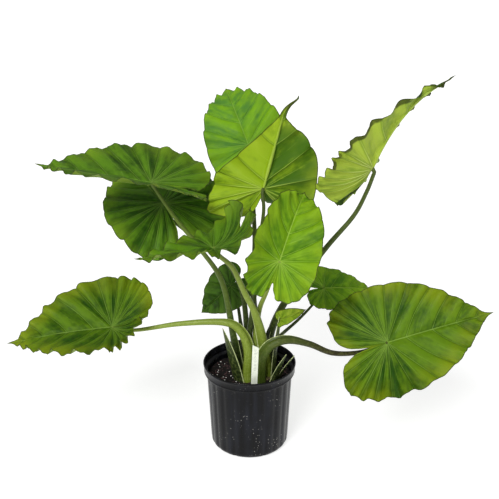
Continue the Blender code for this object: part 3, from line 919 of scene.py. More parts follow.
    def bend(self, flat: np.ndarray) -> np.ndarray:
        """Bend flat points into the blade's own curved shape.

        Args:
            flat: Points in the plane; x forward, y left.

        Returns:
            Points with z up out of the blade.
        """
        leaf = self.leaf
        steps = np.append((np.arange(16) + 0.5) / 16, 1.0)
        along = flat[:, :1] * steps
        forward = np.clip(along, 0, None) / leaf.length
        backward = np.clip(-along, 0, None) / leaf.lobe
        left = flat[:, 1] > 0
        lobe_droop = np.where(left, leaf.lobe_droop[0], leaf.lobe_droop[1])[:, None]
        rise = np.radians(lobe_droop) * backward - np.radians(leaf.droop) * forward**1.5
        rise = rise + np.radians(leaf.drip_curl) * np.clip((forward - 0.93) / 0.10, 0, 1.5)
        x = flat[:, 0] * np.cos(rise[:, :-1]).mean(axis=1)
        z = flat[:, 0] * np.sin(rise[:, :-1]).mean(axis=1)
        fold = np.radians(np.where(left, leaf.fold[0], leaf.fold[1]))[:, None]
        curl = np.radians(np.where(left, leaf.curl[0], leaf.curl[1]))[:, None]
        out = np.abs(flat[:, 1:]) * steps[:-1]
        tilt = fold * out / (out + self.flat_strip) + curl * out / (leaf.width / 2)
        y = flat[:, 1] * np.cos(tilt).mean(axis=1)
        lift = np.abs(flat[:, 1]) * np.sin(tilt).mean(axis=1)
        return np.stack([x - lift * np.sin(rise[:, -1]), y, z + lift * np.cos(rise[:, -1])], axis=1)

    def axes(self) -> np.ndarray:
        """Unit vectors along the blade, to its left and out of its upper side."""
        along = Vector(self.leaf.tip).normalized()
        face = Vector(self.leaf.face)
        normal = (face - face.dot(along) * along).normalized()
        return np.array([list(along), list(normal.cross(along)), list(normal)])

    def half(self, side: float) -> tuple[np.ndarray, dict[str, np.ndarray]]:
        """One half of the sheet, in its place, with its surface numbers.

        Args:
            side: 1 for the left half and -1 for the right.

        Returns:
            Points by row and column, and arrays of the same size by attribute name.
        """
        leaf = self.leaf
        flat, out, phase = self.flat_half(side)
        shape = flat.shape[:2]
        points = self.bend(flat.reshape(-1, 2)).reshape(*shape, 3)
        if leaf.spike:
            up_spike = np.clip((flat[..., 0] / leaf.length - 1) / leaf.spike + 1, 0, 1)
            points[..., 1] += leaf.sway * up_spike**2
        spacing = np.linalg.norm(np.gradient(flat, axis=1), axis=-1) / np.gradient(phase)[None, :]
        between = np.abs(np.sin(math.pi * phase))[None, :]
        share = phase / leaf.veins
        ends = (np.clip(share / 0.10, 0, 1) * np.clip((1 - share) / 0.12, 0, 1))[None, :]
        pucker = leaf.quilting * spacing * between**0.8 * np.clip(out / 0.15, 0, 1)[:, None]
        pucker *= self.per_vein(phase, 0.6, 1.4, 2 + int(side))[None, :]
        pucker *= (1 - 0.6 * out**4)[:, None]
        swing = np.sin(2 * math.pi * (phase + self.per_vein(phase, -0.12, 0.12, 5)))
        swing = swing * self.per_vein(phase, 0.5, 1.5, 7 + int(side))
        ripple = np.sin(2 * math.pi * 2.6 * phase + leaf.seed)
        ripple = ripple * self.per_vein(phase, 0.0, 0.5, 17 + int(side))
        wave = leaf.ruffle * (swing[None, :] * (out**3.0)[:, None] + ripple[None, :] * (out**6.0)[:, None])
        wave *= np.clip(spacing / 0.030, 0.25, 1.0)
        along_rows = np.gradient(points, axis=0)
        along_columns = np.gradient(points, axis=1)
        normal = np.cross(along_columns, along_rows) * -side
        normal /= np.maximum(np.linalg.norm(normal, axis=-1, keepdims=True), 1e-9)
        points = points + normal * ((pucker + wave) * ends)[..., None]
        world = points @ self.axes() + np.array(leaf.node) + PLAN.crown_top
        to_vein = np.abs(phase - np.round(phase))[None, :] * spacing
        to_twig = np.abs(phase * 4 - np.round(phase * 4))[None, :] / 4 * spacing
        to_rib = np.hypot(flat[..., 1], np.minimum(flat[..., 0], 0.0))
        to_edge = np.linalg.norm(flat - flat[-1:], axis=-1)
        # Painted light and shade for the puckers: +1 on one side of each vein spacing and -1 on the other, so
        # one side is lighter and the other darker.
        slope = np.sin(2 * math.pi * phase)[None, :] * np.clip(spacing / 0.02, 0, 1)
        slope = slope * np.clip(out / 0.3, 0, 1)[:, None]
        # Random tone per vein spacing plus the leaf's half offset, which is painted shade on one half and
        # painted light on the other (used on the centre leaf).
        tone = self.per_vein(phase, 0.0, 1.0, 11 + int(side)) + leaf.painted_half_shade[0 if side > 0 else 1]
        numbers = {
            "vein_gap": to_vein,
            "twig_gap": np.broadcast_to(to_twig, shape),
            "rib_gap": to_rib,
            "edge_gap": to_edge,
            "slope": slope,
            "tone": np.broadcast_to(tone[None, :], shape),
            "phase": np.broadcast_to(phase[None, :] + 40.0 * side + leaf.seed, shape),
            "out": np.broadcast_to(out[:, None], shape),
            "reach": np.broadcast_to(np.clip(flat[..., 0] / leaf.length, 0, 1), shape),
        }
        return world, numbers

    def sheet(self) -> bpy.types.Mesh:
        """The middle surface of both halves, welded at the midrib."""
        shape = bmesh.new()
        layers: dict[str, Any] = {}
        for side in (1.0, -1.0):
            points, numbers = self.half(side)
            for key in numbers:
                if key not in layers:
                    layers[key] = shape.verts.layers.float.new(key)
            rows, columns = points.shape[:2]
            corners = []
            flat_numbers = {key: np.ravel(value) for key, value in numbers.items()}
            for index, point in enumerate(points.reshape(-1, 3)):
                corner = shape.verts.new(point)
                for key, layer in layers.items():
                    corner[layer] = float(flat_numbers[key][index])
                corners.append(corner)
            for row in range(rows - 1):
                for column in range(columns - 1):
                    first = row * columns + column
                    loop = [first, first + columns, first + columns + 1, first + 1]
                    if side < 0:
                        loop.reverse()
                    shape.faces.new([corners[i] for i in loop])
        bmesh.ops.remove_doubles(shape, verts=shape.verts, dist=0.00006)
        mesh = bpy.data.meshes.new("sheet")
        shape.to_mesh(mesh)
        shape.free()
        return mesh

    def solid(self) -> bpy.types.Mesh:
        """The blade with its thickness, the rib and veins raised beneath, and its rim closed."""
        sheet = self.sheet()
        count = len(sheet.vertices)
        middle = np.empty(count * 3)
        sheet.vertices.foreach_get("co", middle)
        normal = np.empty(count * 3)
        sheet.vertex_normals.foreach_get("vector", normal)
        middle = middle.reshape(-1, 3)
        normal = normal.reshape(-1, 3)
        numbers = {}
        for layer in sheet.attributes:
            if layer.data_type == "FLOAT" and layer.domain == "POINT":
                values = np.empty(count)
                layer.data.foreach_get("value", values)
                numbers[layer.name] = values
        rib_height = self.rib_height * (1 - numbers["reach"]) + 0.0008
        rib = np.sqrt(np.clip(1 - (numbers["rib_gap"] / (rib_height * 1.2)) ** 2, 0, 1)) * rib_height
        vein_height = self.vein_height * np.clip(numbers["edge_gap"] / 0.08, 0.25, 1.0)
        vein = np.exp(-((numbers["vein_gap"] / 0.0016) ** 2)) * vein_height
        thin = np.clip(numbers["edge_gap"] / 0.004, 0.35, 1.0) * self.thickness / 2
        groove = 0.0009 * np.exp(-((numbers["rib_gap"] / 0.0025) ** 2)) + 0.3 * vein
        upper = middle + normal * (thin - groove)[:, None]
        lower = middle - normal * (thin + np.maximum(rib, vein))[:, None]
        faces = [tuple(polygon.vertices) for polygon in sheet.polygons]
        edge_use: dict[tuple[int, int], int] = {}
        for face in faces:
            for a, b in zip(face, face[1:] + face[:1]):
                edge_use[(a, b)] = edge_use.get((a, b), 0) + 1
        rim = [(b, a, a + count, b + count) for a, b in edge_use if (b, a) not in edge_use]
        under = [tuple(i + count for i in reversed(face)) for face in faces]
        mesh = bpy.data.meshes.new(f"blade_{self.leaf.name}")
        mesh.from_pydata(np.concatenate([upper, lower]).tolist(), [], faces + under + rim)
        kinds = np.concatenate([np.zeros(len(faces)), np.ones(len(under) + len(rim))]).astype(np.int32)
        mesh.polygons.foreach_set("material_index", kinds)
        for key, values in numbers.items():
            store(mesh, key, np.concatenate([values, values]))
        bpy.data.meshes.remove(sheet)
        mesh.shade_smooth()
        mesh.set_sharp_from_angle(angle=math.radians(55))
        return mesh

    def build(self) -> bpy.types.Object:
        """Make the blade and tie it to the frame.

        Returns:
            The blade's object.
        """
        name = self.leaf.name
        skins = [self.leaf.upper.material(f"upper_{name}"), self.leaf.under.material(f"under_{name}")]
        piece = new_object(f"blade_{name}", self.solid(), skins)
        hand_over(piece, (f"leaf_{name}",))
        return piece


@dataclass
class Stalk:
    """A leaf's stalk: round above, grooved below, with the two wings of its sheath clasping the crown."""

    leaf: Leaf
    blade: Blade
    points_per_span: int = 14
    straight: float = 0.012
    approach: float = 0.8
    sink: float = 0.012
    wing_angle: float = 52.0
    back_points: int = 11
    taper: float = 1.4

    def route(self) -> np.ndarray:
        """Middle line of the stalk, from inside the crown to the blade."""
        leaf = self.leaf
        normal = self.blade.axes()[2]
        root = np.array([*leaf.base, 0.0]) + PLAN.crown_top
        approach = normal + self.approach * self.blade.axes()[0]
        approach /= np.linalg.norm(approach)
        end = np.array(leaf.node) + PLAN.crown_top - normal * 0.0012
        places = [root + (0.0, 0.0, self.straight)]
        places += [np.array(point) + PLAN.crown_top for point in leaf.route]
        places.append(end - approach * self.straight)
        ghost = [2 * places[0] - places[1], *places, 2 * places[-1] - places[-2]]
        line = [root - (0.0, 0.0, self.sink), root]
        for a, b, c, d in zip(ghost, ghost[1:], ghost[2:], ghost[3:]):
            for t in np.arange(self.points_per_span) / self.points_per_span:
                square = (2 * a - 5 * b + 4 * c - d) * t**2
                cube = (3 * b - 3 * c + d - a) * t**3
                line.append((2 * b + (c - a) * t + square + cube) / 2)
        line += [places[-1], end]
        return np.array(line)

    def section(self, radius: float, wing: float) -> tuple[np.ndarray, np.ndarray, np.ndarray]:
        """Outline of the stalk at one height.

        Args:
            radius: The stalk's own radius.
            wing: How far the sheath's wings stand out.

        Returns:
            Angles from the inner side, distances from the middle, and nearness to a wing's edge.
        """
        half = math.radians(self.wing_angle)
        back = np.linspace(math.pi, half, self.back_points)
        groove = radius * (0.78 if wing > 0.0005 else 0.92)
        lean = math.radians(10.0) * min(wing / 0.01, 1.5)
        tip = radius + wing
        wing_angles = [half - lean * 0.5, half - lean - 0.03, half - lean - 0.10, half - 0.16]
        angles = [*back, *wing_angles, half * 0.55, 0.0]
        wing_reach = [radius + wing * 0.6, tip, tip - 0.0003, radius * 0.90]
        reach = [*[radius] * len(back), *wing_reach, groove, groove * 0.97]
        edge = [*[0.0] * len(back), 0.6, 1.0, 1.0, 0.1, 0.0, 0.0]
        if wing <= 0.0005:
            edge = [0.0] * len(edge)
        mirror = slice(-2, 0, -1)
        return (
            np.array(angles + [-a for a in angles[mirror]]),
            np.array(reach + reach[mirror]),
            np.array(edge + edge[mirror]),
        )

    def build(self) -> bpy.types.Object:
        """Make the stalk and tie it to the frame.

        Returns:
            The stalk's object.
        """
        leaf = self.leaf
        line = self.route()
        gaps = np.linalg.norm(np.diff(line, axis=0), axis=1)
        length = np.concatenate([[0.0], np.cumsum(gaps)])
        tangent = np.gradient(line, axis=0)
        tangent /= np.linalg.norm(tangent, axis=1, keepdims=True)
        inward = Vector((-leaf.base[0], -leaf.base[1], 0.0))
        base_radius, top_radius = leaf.stalk_radius
        rings, along, wings, turns = [], [], [], []
        for place, direction, distance in zip(line, tangent, length):
            axis = Vector(direction)
            inward = (inward - inward.dot(axis) * axis).normalized()
            sideways = axis.cross(inward)
            share = min(distance / length[-1], 1.0)
            radius = top_radius + (base_radius - top_radius) * (1 - share) ** self.taper
            rise = max(distance - self.sink, 0.0)
            wing = 0.85 * base_radius * max(1 - rise / leaf.sheath, 0.0) ** 0.8
            angle, reach, edge = self.section(radius, wing)
            across = np.cos(angle)[:, None] * np.array(inward) + np.sin(angle)[:, None] * np.array(sideways)
            rings.append(place + across * reach[:, None])
            along.append(np.full(len(angle), rise))
            wings.append(edge)
            turns.append(angle)
        mesh = mesh_from_grid(f"stem_{leaf.name}", np.array(rings), True, True)
        store(mesh, "along", np.concatenate(along))
        store(mesh, "wing", np.concatenate(wings))
        store(mesh, "turn", np.concatenate(turns))
        self.face_outward(mesh)
        mesh.set_sharp_from_angle(angle=math.radians(70))
        piece = new_object(f"stem_{leaf.name}", mesh, [leaf.stalk.material(f"stalk_skin_{leaf.name}")])
        hand_over(piece, (f"stalk_{leaf.name}",))
        return piece

    @staticmethod
    def face_outward(mesh: bpy.types.Mesh) -> None:
        """Turn all faces of a closed mesh outwards.

        Args:
            mesh: The closed mesh.
        """
        shape = bmesh.new()
        shape.from_mesh(mesh)
        bmesh.ops.recalc_face_normals(shape, faces=shape.faces)
        shape.to_mesh(mesh)
        shape.free()


# Crown


@dataclass
class Crown:
    """The short stem: a low mound wrapped in the fibrous ends of old sheaths."""

    sides: int = 72
    rings: int = 18
    wraps: int = 9
    skin: SheathSkin = field(default_factory=SheathSkin)

    def build(self) -> bpy.types.Object:
        """Make the crown and tie it to the frame.

        Returns:
            The crown's object.
        """
        turn = np.linspace(0, 2 * math.pi, self.sides, endpoint=False)[None, :]
        rise = np.linspace(0, 1, self.rings)[:, None]
        lumps = 0.0030 * np.abs(np.sin(turn * self.wraps / 2 + 2.0 * rise))
        lumps = lumps + 0.0008 * np.sin(turn * 31 + rise * 5)
        radius = PLAN.crown_radius * np.cos(rise * math.pi / 2 * 0.96) ** 0.42 - 0.0045 + lumps
        radius = np.where(rise > 0.97, 0.001, radius)
        foot = PLAN.soil_top - 0.012
        height = foot + (PLAN.soil_top + PLAN.crown_rise - foot - 0.001) * np.sin(rise * math.pi / 2)
        height = height + 0.0010 * np.sin(turn * self.wraps + 1.0) * rise
        grid = np.stack([
            PLAN.crown_x + radius * np.cos(turn),
            radius * np.sin(turn),
            np.broadcast_to(height, radius.shape),
        ], axis=-1)
        mesh = mesh_from_grid("crown_mound", grid, True, True)
        Stalk.face_outward(mesh)
        piece = new_object("crown_mound", mesh, [self.skin.material("withered_sheath")])
        hand_over(piece, ("crown",))
        return piece


@dataclass
class SheathTip:
    """One pointed sheath that stands at the crown without a leaf of its own."""

    name: str
    foot: tuple[float, float]
    lean: Point
    length: float
    width: float
    skin: StalkSkin = field(default_factory=lambda: STALK_DARK)
    wall: float = 0.0012
    rings: int = 26
    steps: int = 12

    def build(self) -> bpy.types.Object:
        """Make the sheath and tie it to the frame.

        Returns:
            The sheath's object.
        """
        start = Vector((self.foot[0] + PLAN.crown_x, self.foot[1], PLAN.soil_top - 0.004))
        rise = Vector(self.lean).normalized()
        outward = Vector((self.foot[0], self.foot[1], 0.0)).normalized()
        outward = (outward - outward.dot(rise) * rise).normalized()
        side = rise.cross(outward)
        rings, along, wings = [], [], []
        for share in np.linspace(0, 1, self.rings):
            width = self.width * (1 - share**1.6) * (0.85 + 0.3 * share) + 0.0006
            middle = start + rise * (share * self.length) + outward * (0.012 * share**2)
            across = np.linspace(-1, 1, self.steps)
            hollow = 0.35 * width * (1 - across**2)
            outer = [middle + side * (a * width) + outward * h for a, h in zip(across, hollow)]
            shrunk = width * 0.97
            inner = [middle + side * (a * shrunk) + outward * (h - self.wall) for a, h in zip(across, hollow)]
            rings.append([list(point) for point in outer + inner[::-1]])
            along.append(np.full(self.steps * 2, share * self.length))
            edge = np.clip((np.abs(across) - 0.70) / 0.30, 0, 1)
            wings.append(np.concatenate([edge, edge[::-1]]))
        mesh = mesh_from_grid(self.name, np.array(rings), True, True)
        store(mesh, "along", np.concatenate(along))
        store(mesh, "wing", np.concatenate(wings))
        store(mesh, "turn", np.concatenate(wings) * 2.0)
        Stalk.face_outward(mesh)
        mesh.set_sharp_from_angle(angle=math.radians(60))
        piece = new_object(self.name, mesh, [self.skin.material(f"{self.name}_skin")])
        hand_over(piece)
        return piece


# Potting mix


class Nodes:
    """A Geometry Nodes tree written in a few calls."""

    def __init__(self, name: str) -> None:
        """Start a tree that takes and gives a geometry.

        Args:
            name: The tree's name.
        """
        self.tree = bpy.data.node_groups.new(name, "GeometryNodeTree")
        self.tree.interface.new_socket("Geometry", in_out="INPUT", socket_type="NodeSocketGeometry")
        self.tree.interface.new_socket("Geometry", in_out="OUTPUT", socket_type="NodeSocketGeometry")
        self.start = self.tree.nodes.new("NodeGroupInput")
        self.end = self.tree.nodes.new("NodeGroupOutput")

    def size(self, name: str, kind: str, value: Any) -> bpy.types.NodeSocket:
        """A named input of the tree.

        Args:
            name: The input's name.
            kind: Its socket type.
            value: Its value until a modifier sets another.

        Returns:
            The socket to link from.
        """
        item = self.tree.interface.new_socket(name, in_out="INPUT", socket_type=kind)
        item.default_value = value
        return self.start.outputs[name]

    def add(self, kind: str, settings: dict[str, Any], values: dict[Any, Any]) -> bpy.types.Node:
        """Add a node, set it and link it.

        Args:
            kind: The node's type.
            settings: Its properties.
            values: Numbers or outputs for its sockets, by name or number.

        Returns:
            The node.
        """
        node = self.tree.nodes.new(kind)
        for key, value in settings.items():
            setattr(node, key, value)
        for key, value in values.items():
            if isinstance(value, bpy.types.NodeSocket):
                self.tree.links.new(value, node.inputs[key])
            else:
                node.inputs[key].default_value = value
        return node

    def close(
        self,
        geometry: bpy.types.NodeSocket,
        material: bpy.types.Material,
    ) -> bpy.types.GeometryNodeTree:
        """Realize the copies, dress them and give them out.

        Args:
            geometry: The copies.
            material: What they are made of.

        Returns:
            The finished tree.
        """
        real = self.add("GeometryNodeRealizeInstances", {}, {"Geometry": geometry})
        dressed = self.add("GeometryNodeSetMaterial", {}, {"Geometry": real.outputs[0], "Material": material})
        self.tree.links.new(dressed.outputs[0], self.end.inputs[0])
        return self.tree


def bake_nodes(
    name: str,
    source: bpy.types.Mesh,
    tree: bpy.types.GeometryNodeTree,
    sizes: dict[str, Any],
) -> bpy.types.Mesh:
    """Run a tree on a mesh and keep the plain result.

    Args:
        name: Name of the result.
        source: The mesh that the tree starts from.
        tree: The tree.
        sizes: Values of the tree's named inputs.

    Returns:
        The plain mesh.
    """
    carrier = bpy.data.objects.new(f"{name}_carrier", source)
    bpy.context.scene.collection.objects.link(carrier)
    modifier = carrier.modifiers.new("nodes", "NODES")
    modifier.node_group = tree
    for item in tree.interface.items_tree:
        if item.item_type == "SOCKET" and item.in_out == "INPUT" and item.name in sizes:
            modifier[item.identifier] = sizes[item.name]
    graph = bpy.context.evaluated_depsgraph_get()
    mesh = bpy.data.meshes.new_from_object(carrier.evaluated_get(graph))
    mesh.name = name
    carrier.modifiers.clear()
    bpy.data.objects.remove(carrier, do_unlink=True)
    return mesh


@dataclass(frozen=True)
class Bits:
    """One sort of loose bit that lies on the potting mix."""

    name: str
    finish: EarthFinish
    density: float
    size: float
    flatness: tuple[float, float, float]
    seed: int

    def tree(self) -> bpy.types.GeometryNodeTree:
        """A tree that strews the bits over a surface.

        Returns:
            The tree, with the inputs Density, Size and Seed.
        """
        nodes = Nodes(f"strew_{self.name}")
        density = nodes.size("Density", "NodeSocketFloat", self.density)
        size = nodes.size("Size", "NodeSocketFloat", self.size)
        seed = nodes.size("Seed", "NodeSocketInt", self.seed)
        strewn = nodes.add(
            "GeometryNodeDistributePointsOnFaces",
            {},
            {"Mesh": nodes.start.outputs["Geometry"], "Density": density, "Seed": seed},
        )
        crumb = nodes.add("GeometryNodeMeshIcoSphere", {}, {"Radius": 0.5, "Subdivisions": 2})
        roughen = nodes.add("ShaderNodeTexNoise", {}, {"Scale": 2.4})
        centred = nodes.add(
            "ShaderNodeVectorMath",
            {"operation": "SUBTRACT"},
            {0: roughen.outputs["Color"], 1: (0.5, 0.5, 0.5)},
        )
        rough = nodes.add(
            "GeometryNodeSetPosition",
            {},
            {"Geometry": crumb.outputs[0], "Offset": centred.outputs[0]},
        )
        low = tuple(0.45 * part for part in self.flatness)
        spin = nodes.add(
            "FunctionNodeRandomValue",
            {"data_type": "FLOAT_VECTOR"},
            {0: (-0.5, -0.5, 0.0), 1: (0.5, 0.5, 2 * math.pi), "Seed": seed},
        )
        stretch = nodes.add(
            "FunctionNodeRandomValue",
            {"data_type": "FLOAT_VECTOR"},
            {0: low, 1: self.flatness, "Seed": seed},
        )
        sized = nodes.add(
            "ShaderNodeVectorMath",
            {"operation": "SCALE"},
            {0: stretch.outputs[0], "Scale": size},
        )
        copies = nodes.add(
            "GeometryNodeInstanceOnPoints",
            {},
            {
                "Points": strewn.outputs["Points"],
                "Instance": rough.outputs[0],
                "Rotation": spin.outputs[0],
                "Scale": sized.outputs[0],
            },
        )
        return nodes.close(copies.outputs[0], self.finish.material(f"{self.name}_finish"))


DAMP_MIX = EarthFinish((0.0016, 0.0014, 0.0014), (0.012, 0.010, 0.0095))
PERLITE = EarthFinish((0.42, 0.41, 0.38), (0.78, 0.77, 0.73), 500.0, 0.0004, 0.75)
BARK = EarthFinish((0.026, 0.012, 0.014), (0.085, 0.046, 0.046), 300.0, 0.0006, 0.7)
CRUMBS = EarthFinish((0.003, 0.0025, 0.0025), (0.024, 0.018, 0.016), 400.0, 0.0006, 0.85)


@dataclass
class PottingMix:
    """The potting mix: an uneven top banked up round the crown, strewn with perlite, bark and crumbs."""

    rings: int = 46
    sides: int = 128
    inner_radius: float = 0.1125
    floor_level: float = 0.0045
    bank: float = 0.004
    finish: EarthFinish = field(default_factory=lambda: DAMP_MIX)
    bits: tuple[Bits, ...] = (
        Bits("perlite", PERLITE, 2200.0, 0.0048, (1.0, 1.0, 0.8), 5),
        Bits("bark", BARK, 7000.0, 0.0100, (1.0, 0.6, 0.35), 6),
        Bits("crumbs", CRUMBS, 20000.0, 0.0042, (1.0, 0.9, 0.8), 8),
    )

    def top(self) -> np.ndarray:
        """The uneven top, as rings of points from the middle out."""
        turn = np.linspace(0, 2 * math.pi, self.sides, endpoint=False)[None, :]
        share = np.linspace(0, 1, self.rings)[:, None] ** 0.8
        radius = 0.002 + share * (self.inner_radius - 0.002)
        x = radius * np.cos(turn)
        y = radius * np.sin(turn)
        height = PLAN.soil_top + self.bank * (1 - share**2) - 0.002 * share
        for scale, depth, lag in ((95.0, 0.0011, 0.3), (190.0, 0.0007, 1.7), (410.0, 0.0004, 4.1)):
            waves = np.sin(x * scale + lag + 2.0 * np.sin(y * scale * 0.7))
            height = height + depth * waves * np.cos(y * scale * 1.1 + lag * 2)
        return np.stack([x, y, height], axis=-1)

    def build(self) -> list[bpy.types.Object]:
        """Make the mix and its bits and tie them to the frame.

        Returns:
            The objects.
        """
        top = self.top()
        level = np.full(self.sides, self.floor_level)
        floor = np.stack([top[-1, :, 0] * 0.9, top[-1, :, 1] * 0.9, level], axis=-1)[None]
        mesh = mesh_from_grid("potting_mix", np.concatenate([top, floor]), True, True)
        Stalk.face_outward(mesh)
        mesh.set_sharp_from_angle(angle=math.radians(60))
        pieces = [new_object("potting_mix", mesh, [self.finish.material("damp_mix")])]
        hand_over(pieces[0], ("soil",))
        for bits in self.bits:
            surface = mesh_from_grid("strewn_surface", top[10:-1], True, False)
            sizes = {"Density": bits.density, "Size": bits.size, "Seed": bits.seed}
            strewn = bake_nodes(bits.name, surface, bits.tree(), sizes)
            piece = new_object(bits.name, strewn, [])
            hand_over(piece)
            pieces.append(piece)
        return pieces


# Pot and label


@dataclass
class NurseryPot:
    """The moulded pot: rolled rim, collar, fluted wall, rounded foot and drain holes."""

    wall: float = 0.0024
    corner: float = 0.016
    sides: int = 240
    flutes: int = 24
    flute_depth: float = 0.0013
    drain_holes: int = 8
    drain_radius: float = 0.0065
    plastic: PotPlastic = field(default_factory=PotPlastic)

    def body_radius(self, height: float) -> float:
        """Outer radius of the plain wall at a height."""
        top = PLAN.rim_radius - PLAN.collar_step
        share = height / (PLAN.pot_height - PLAN.collar_height)
        return top - PLAN.body_taper * (1 - share)

    def profile(self) -> list[tuple[float, float, float]]:
        """The pot's section.

        Returns:
            Radius, height and share of the flutes' depth, from the middle underneath,
            up the outside and down the inside.
        """
        high = PLAN.pot_height
        rim = PLAN.rim_radius
        collar = rim - 0.002
        shoulder = high - PLAN.collar_height
        centre = self.body_radius(self.corner) - self.corner
        corner = [math.radians(a) for a in range(-90, 1, 10)]
        outside = [(0.001, 0.0012, 0.0), (centre * 0.86, 0.0012, 0.0), (centre * 0.90, 0.0, 0.0)]
        for a in corner:
            reach = centre + self.corner * math.cos(a)
            outside.append((reach, self.corner * (1 + math.sin(a)), max(0.0, math.cos(a)) ** 3))
        heights = np.linspace(self.corner + 0.004, shoulder - 0.008, 16)
        outside += [(self.body_radius(z), z, 1.0) for z in heights]
        outside += [
            (self.body_radius(shoulder), shoulder - 0.0045, 0.4),
            (self.body_radius(shoulder) + 0.0006, shoulder - 0.0028, 0.0),
            (collar - 0.0004, shoulder - 0.0004, 0.0),
            (collar, shoulder + 0.0006, 0.0),
            (collar, shoulder + 0.0034, 0.0),
            (collar - 0.0008, shoulder + 0.0040, 0.0),
            (collar - 0.0008, shoulder + 0.0048, 0.0),
            (collar, shoulder + 0.0054, 0.0),
            (collar, high - 0.0075, 0.0),
            (rim - 0.0006, high - 0.0056, 0.0),
            (rim, high - 0.0044, 0.0),
            (rim, high - 0.0014, 0.0),
            (rim - 0.0007, high - 0.0003, 0.0),
            (rim - 0.0016, high, 0.0),
            (rim - 0.0030, high - 0.0004, 0.0),
        ]
        inside = [
            (collar - self.wall, high - 0.0022, 0.0),
            (collar - self.wall, shoulder + 0.0100, 0.0),
            (collar - self.wall - 0.0007, shoulder + 0.0090, 0.0),
            (collar - self.wall, shoulder + 0.0078, 0.0),
            (collar - self.wall, shoulder + 0.0030, 0.0),
            (self.body_radius(shoulder) - self.wall, shoulder - 0.0010, 0.0),
        ]
        for z in np.linspace(shoulder - 0.004, self.corner + 0.004, 12):
            inside.append((self.body_radius(z) - self.wall, z, 0.8))
            if z > PLAN.soil_top - 0.02:
                inside.append((self.body_radius(z) - self.wall - 0.0006, z - 0.0016, 0.8))
                inside.append((self.body_radius(z) - self.wall, z - 0.0032, 0.8))
        inner = self.corner - self.wall
        for a in reversed(corner):
            inside.append((centre + inner * math.cos(a), self.corner + inner * math.sin(a), 0.0))
        inside += [(0.001, self.wall, 0.0)]
        return outside + inside

    def shell(self) -> bpy.types.Mesh:
        """The pot's closed shell, without its drain holes."""
        turn = np.linspace(0, 2 * math.pi, self.sides, endpoint=False)[None, :]
        radius, height, share = (np.array(column)[:, None] for column in zip(*self.profile()))
        ridge = 0.5 - 0.5 * np.cos(self.flutes * turn)
        ridge = ridge**2.2
        depth = self.flute_depth * ridge * share
        grid = np.stack([
            (radius - depth) * np.cos(turn),
            (radius - depth) * np.sin(turn),
            np.broadcast_to(height, depth.shape),
        ], axis=-1)
        mesh = mesh_from_grid("nursery_pot", grid, True, True)
        Stalk.face_outward(mesh)
        return mesh

    def drill(self, pot: bpy.types.Object) -> None:
        """Cut the drain holes through the foot's rounded corner.

        Args:
            pot: The pot's object.
        """
        shape = bmesh.new()
        inset = self.corner * (1 - math.sqrt(0.5))
        distance = self.body_radius(self.corner) - inset
        for index in range(self.drain_holes):
            angle = 2 * math.pi * (index + 0.5) / self.drain_holes
            outward = Vector((math.cos(angle), math.sin(angle), -1.0))
            turn = outward.to_track_quat("Z", "Y").to_matrix().to_4x4()
            place = Matrix.Translation((distance * math.cos(angle), distance * math.sin(angle), inset))
            bmesh.ops.create_cone(
                shape,
                cap_ends=True,
                segments=24,
                radius1=self.drain_radius,
                radius2=self.drain_radius,
                depth=self.corner * 2,
                matrix=place @ turn,
            )
        mesh = bpy.data.meshes.new("drill")
        shape.to_mesh(mesh)
        shape.free()
        drill = new_object("drill", mesh, [])
        cut = pot.modifiers.new("drain", "BOOLEAN")
        cut.operation = "DIFFERENCE"
        cut.solver = "EXACT"
        cut.object = drill
        graph = bpy.context.evaluated_depsgraph_get()
        drilled = bpy.data.meshes.new_from_object(pot.evaluated_get(graph))
        pot.modifiers.clear()
        pot.data = drilled
        bpy.data.objects.remove(drill, do_unlink=True)

    def build(self) -> bpy.types.Object:
        """Make the pot and tie it to the frame.

        Returns:
            The pot's object.
        """
        piece = new_object("nursery_pot", self.shell(), [self.plastic.material("black_plastic")])
        self.drill(piece)
        piece.data.shade_smooth()
        piece.data.set_sharp_from_angle(angle=math.radians(48))
        hand_over(piece, ("pot",))
        return piece


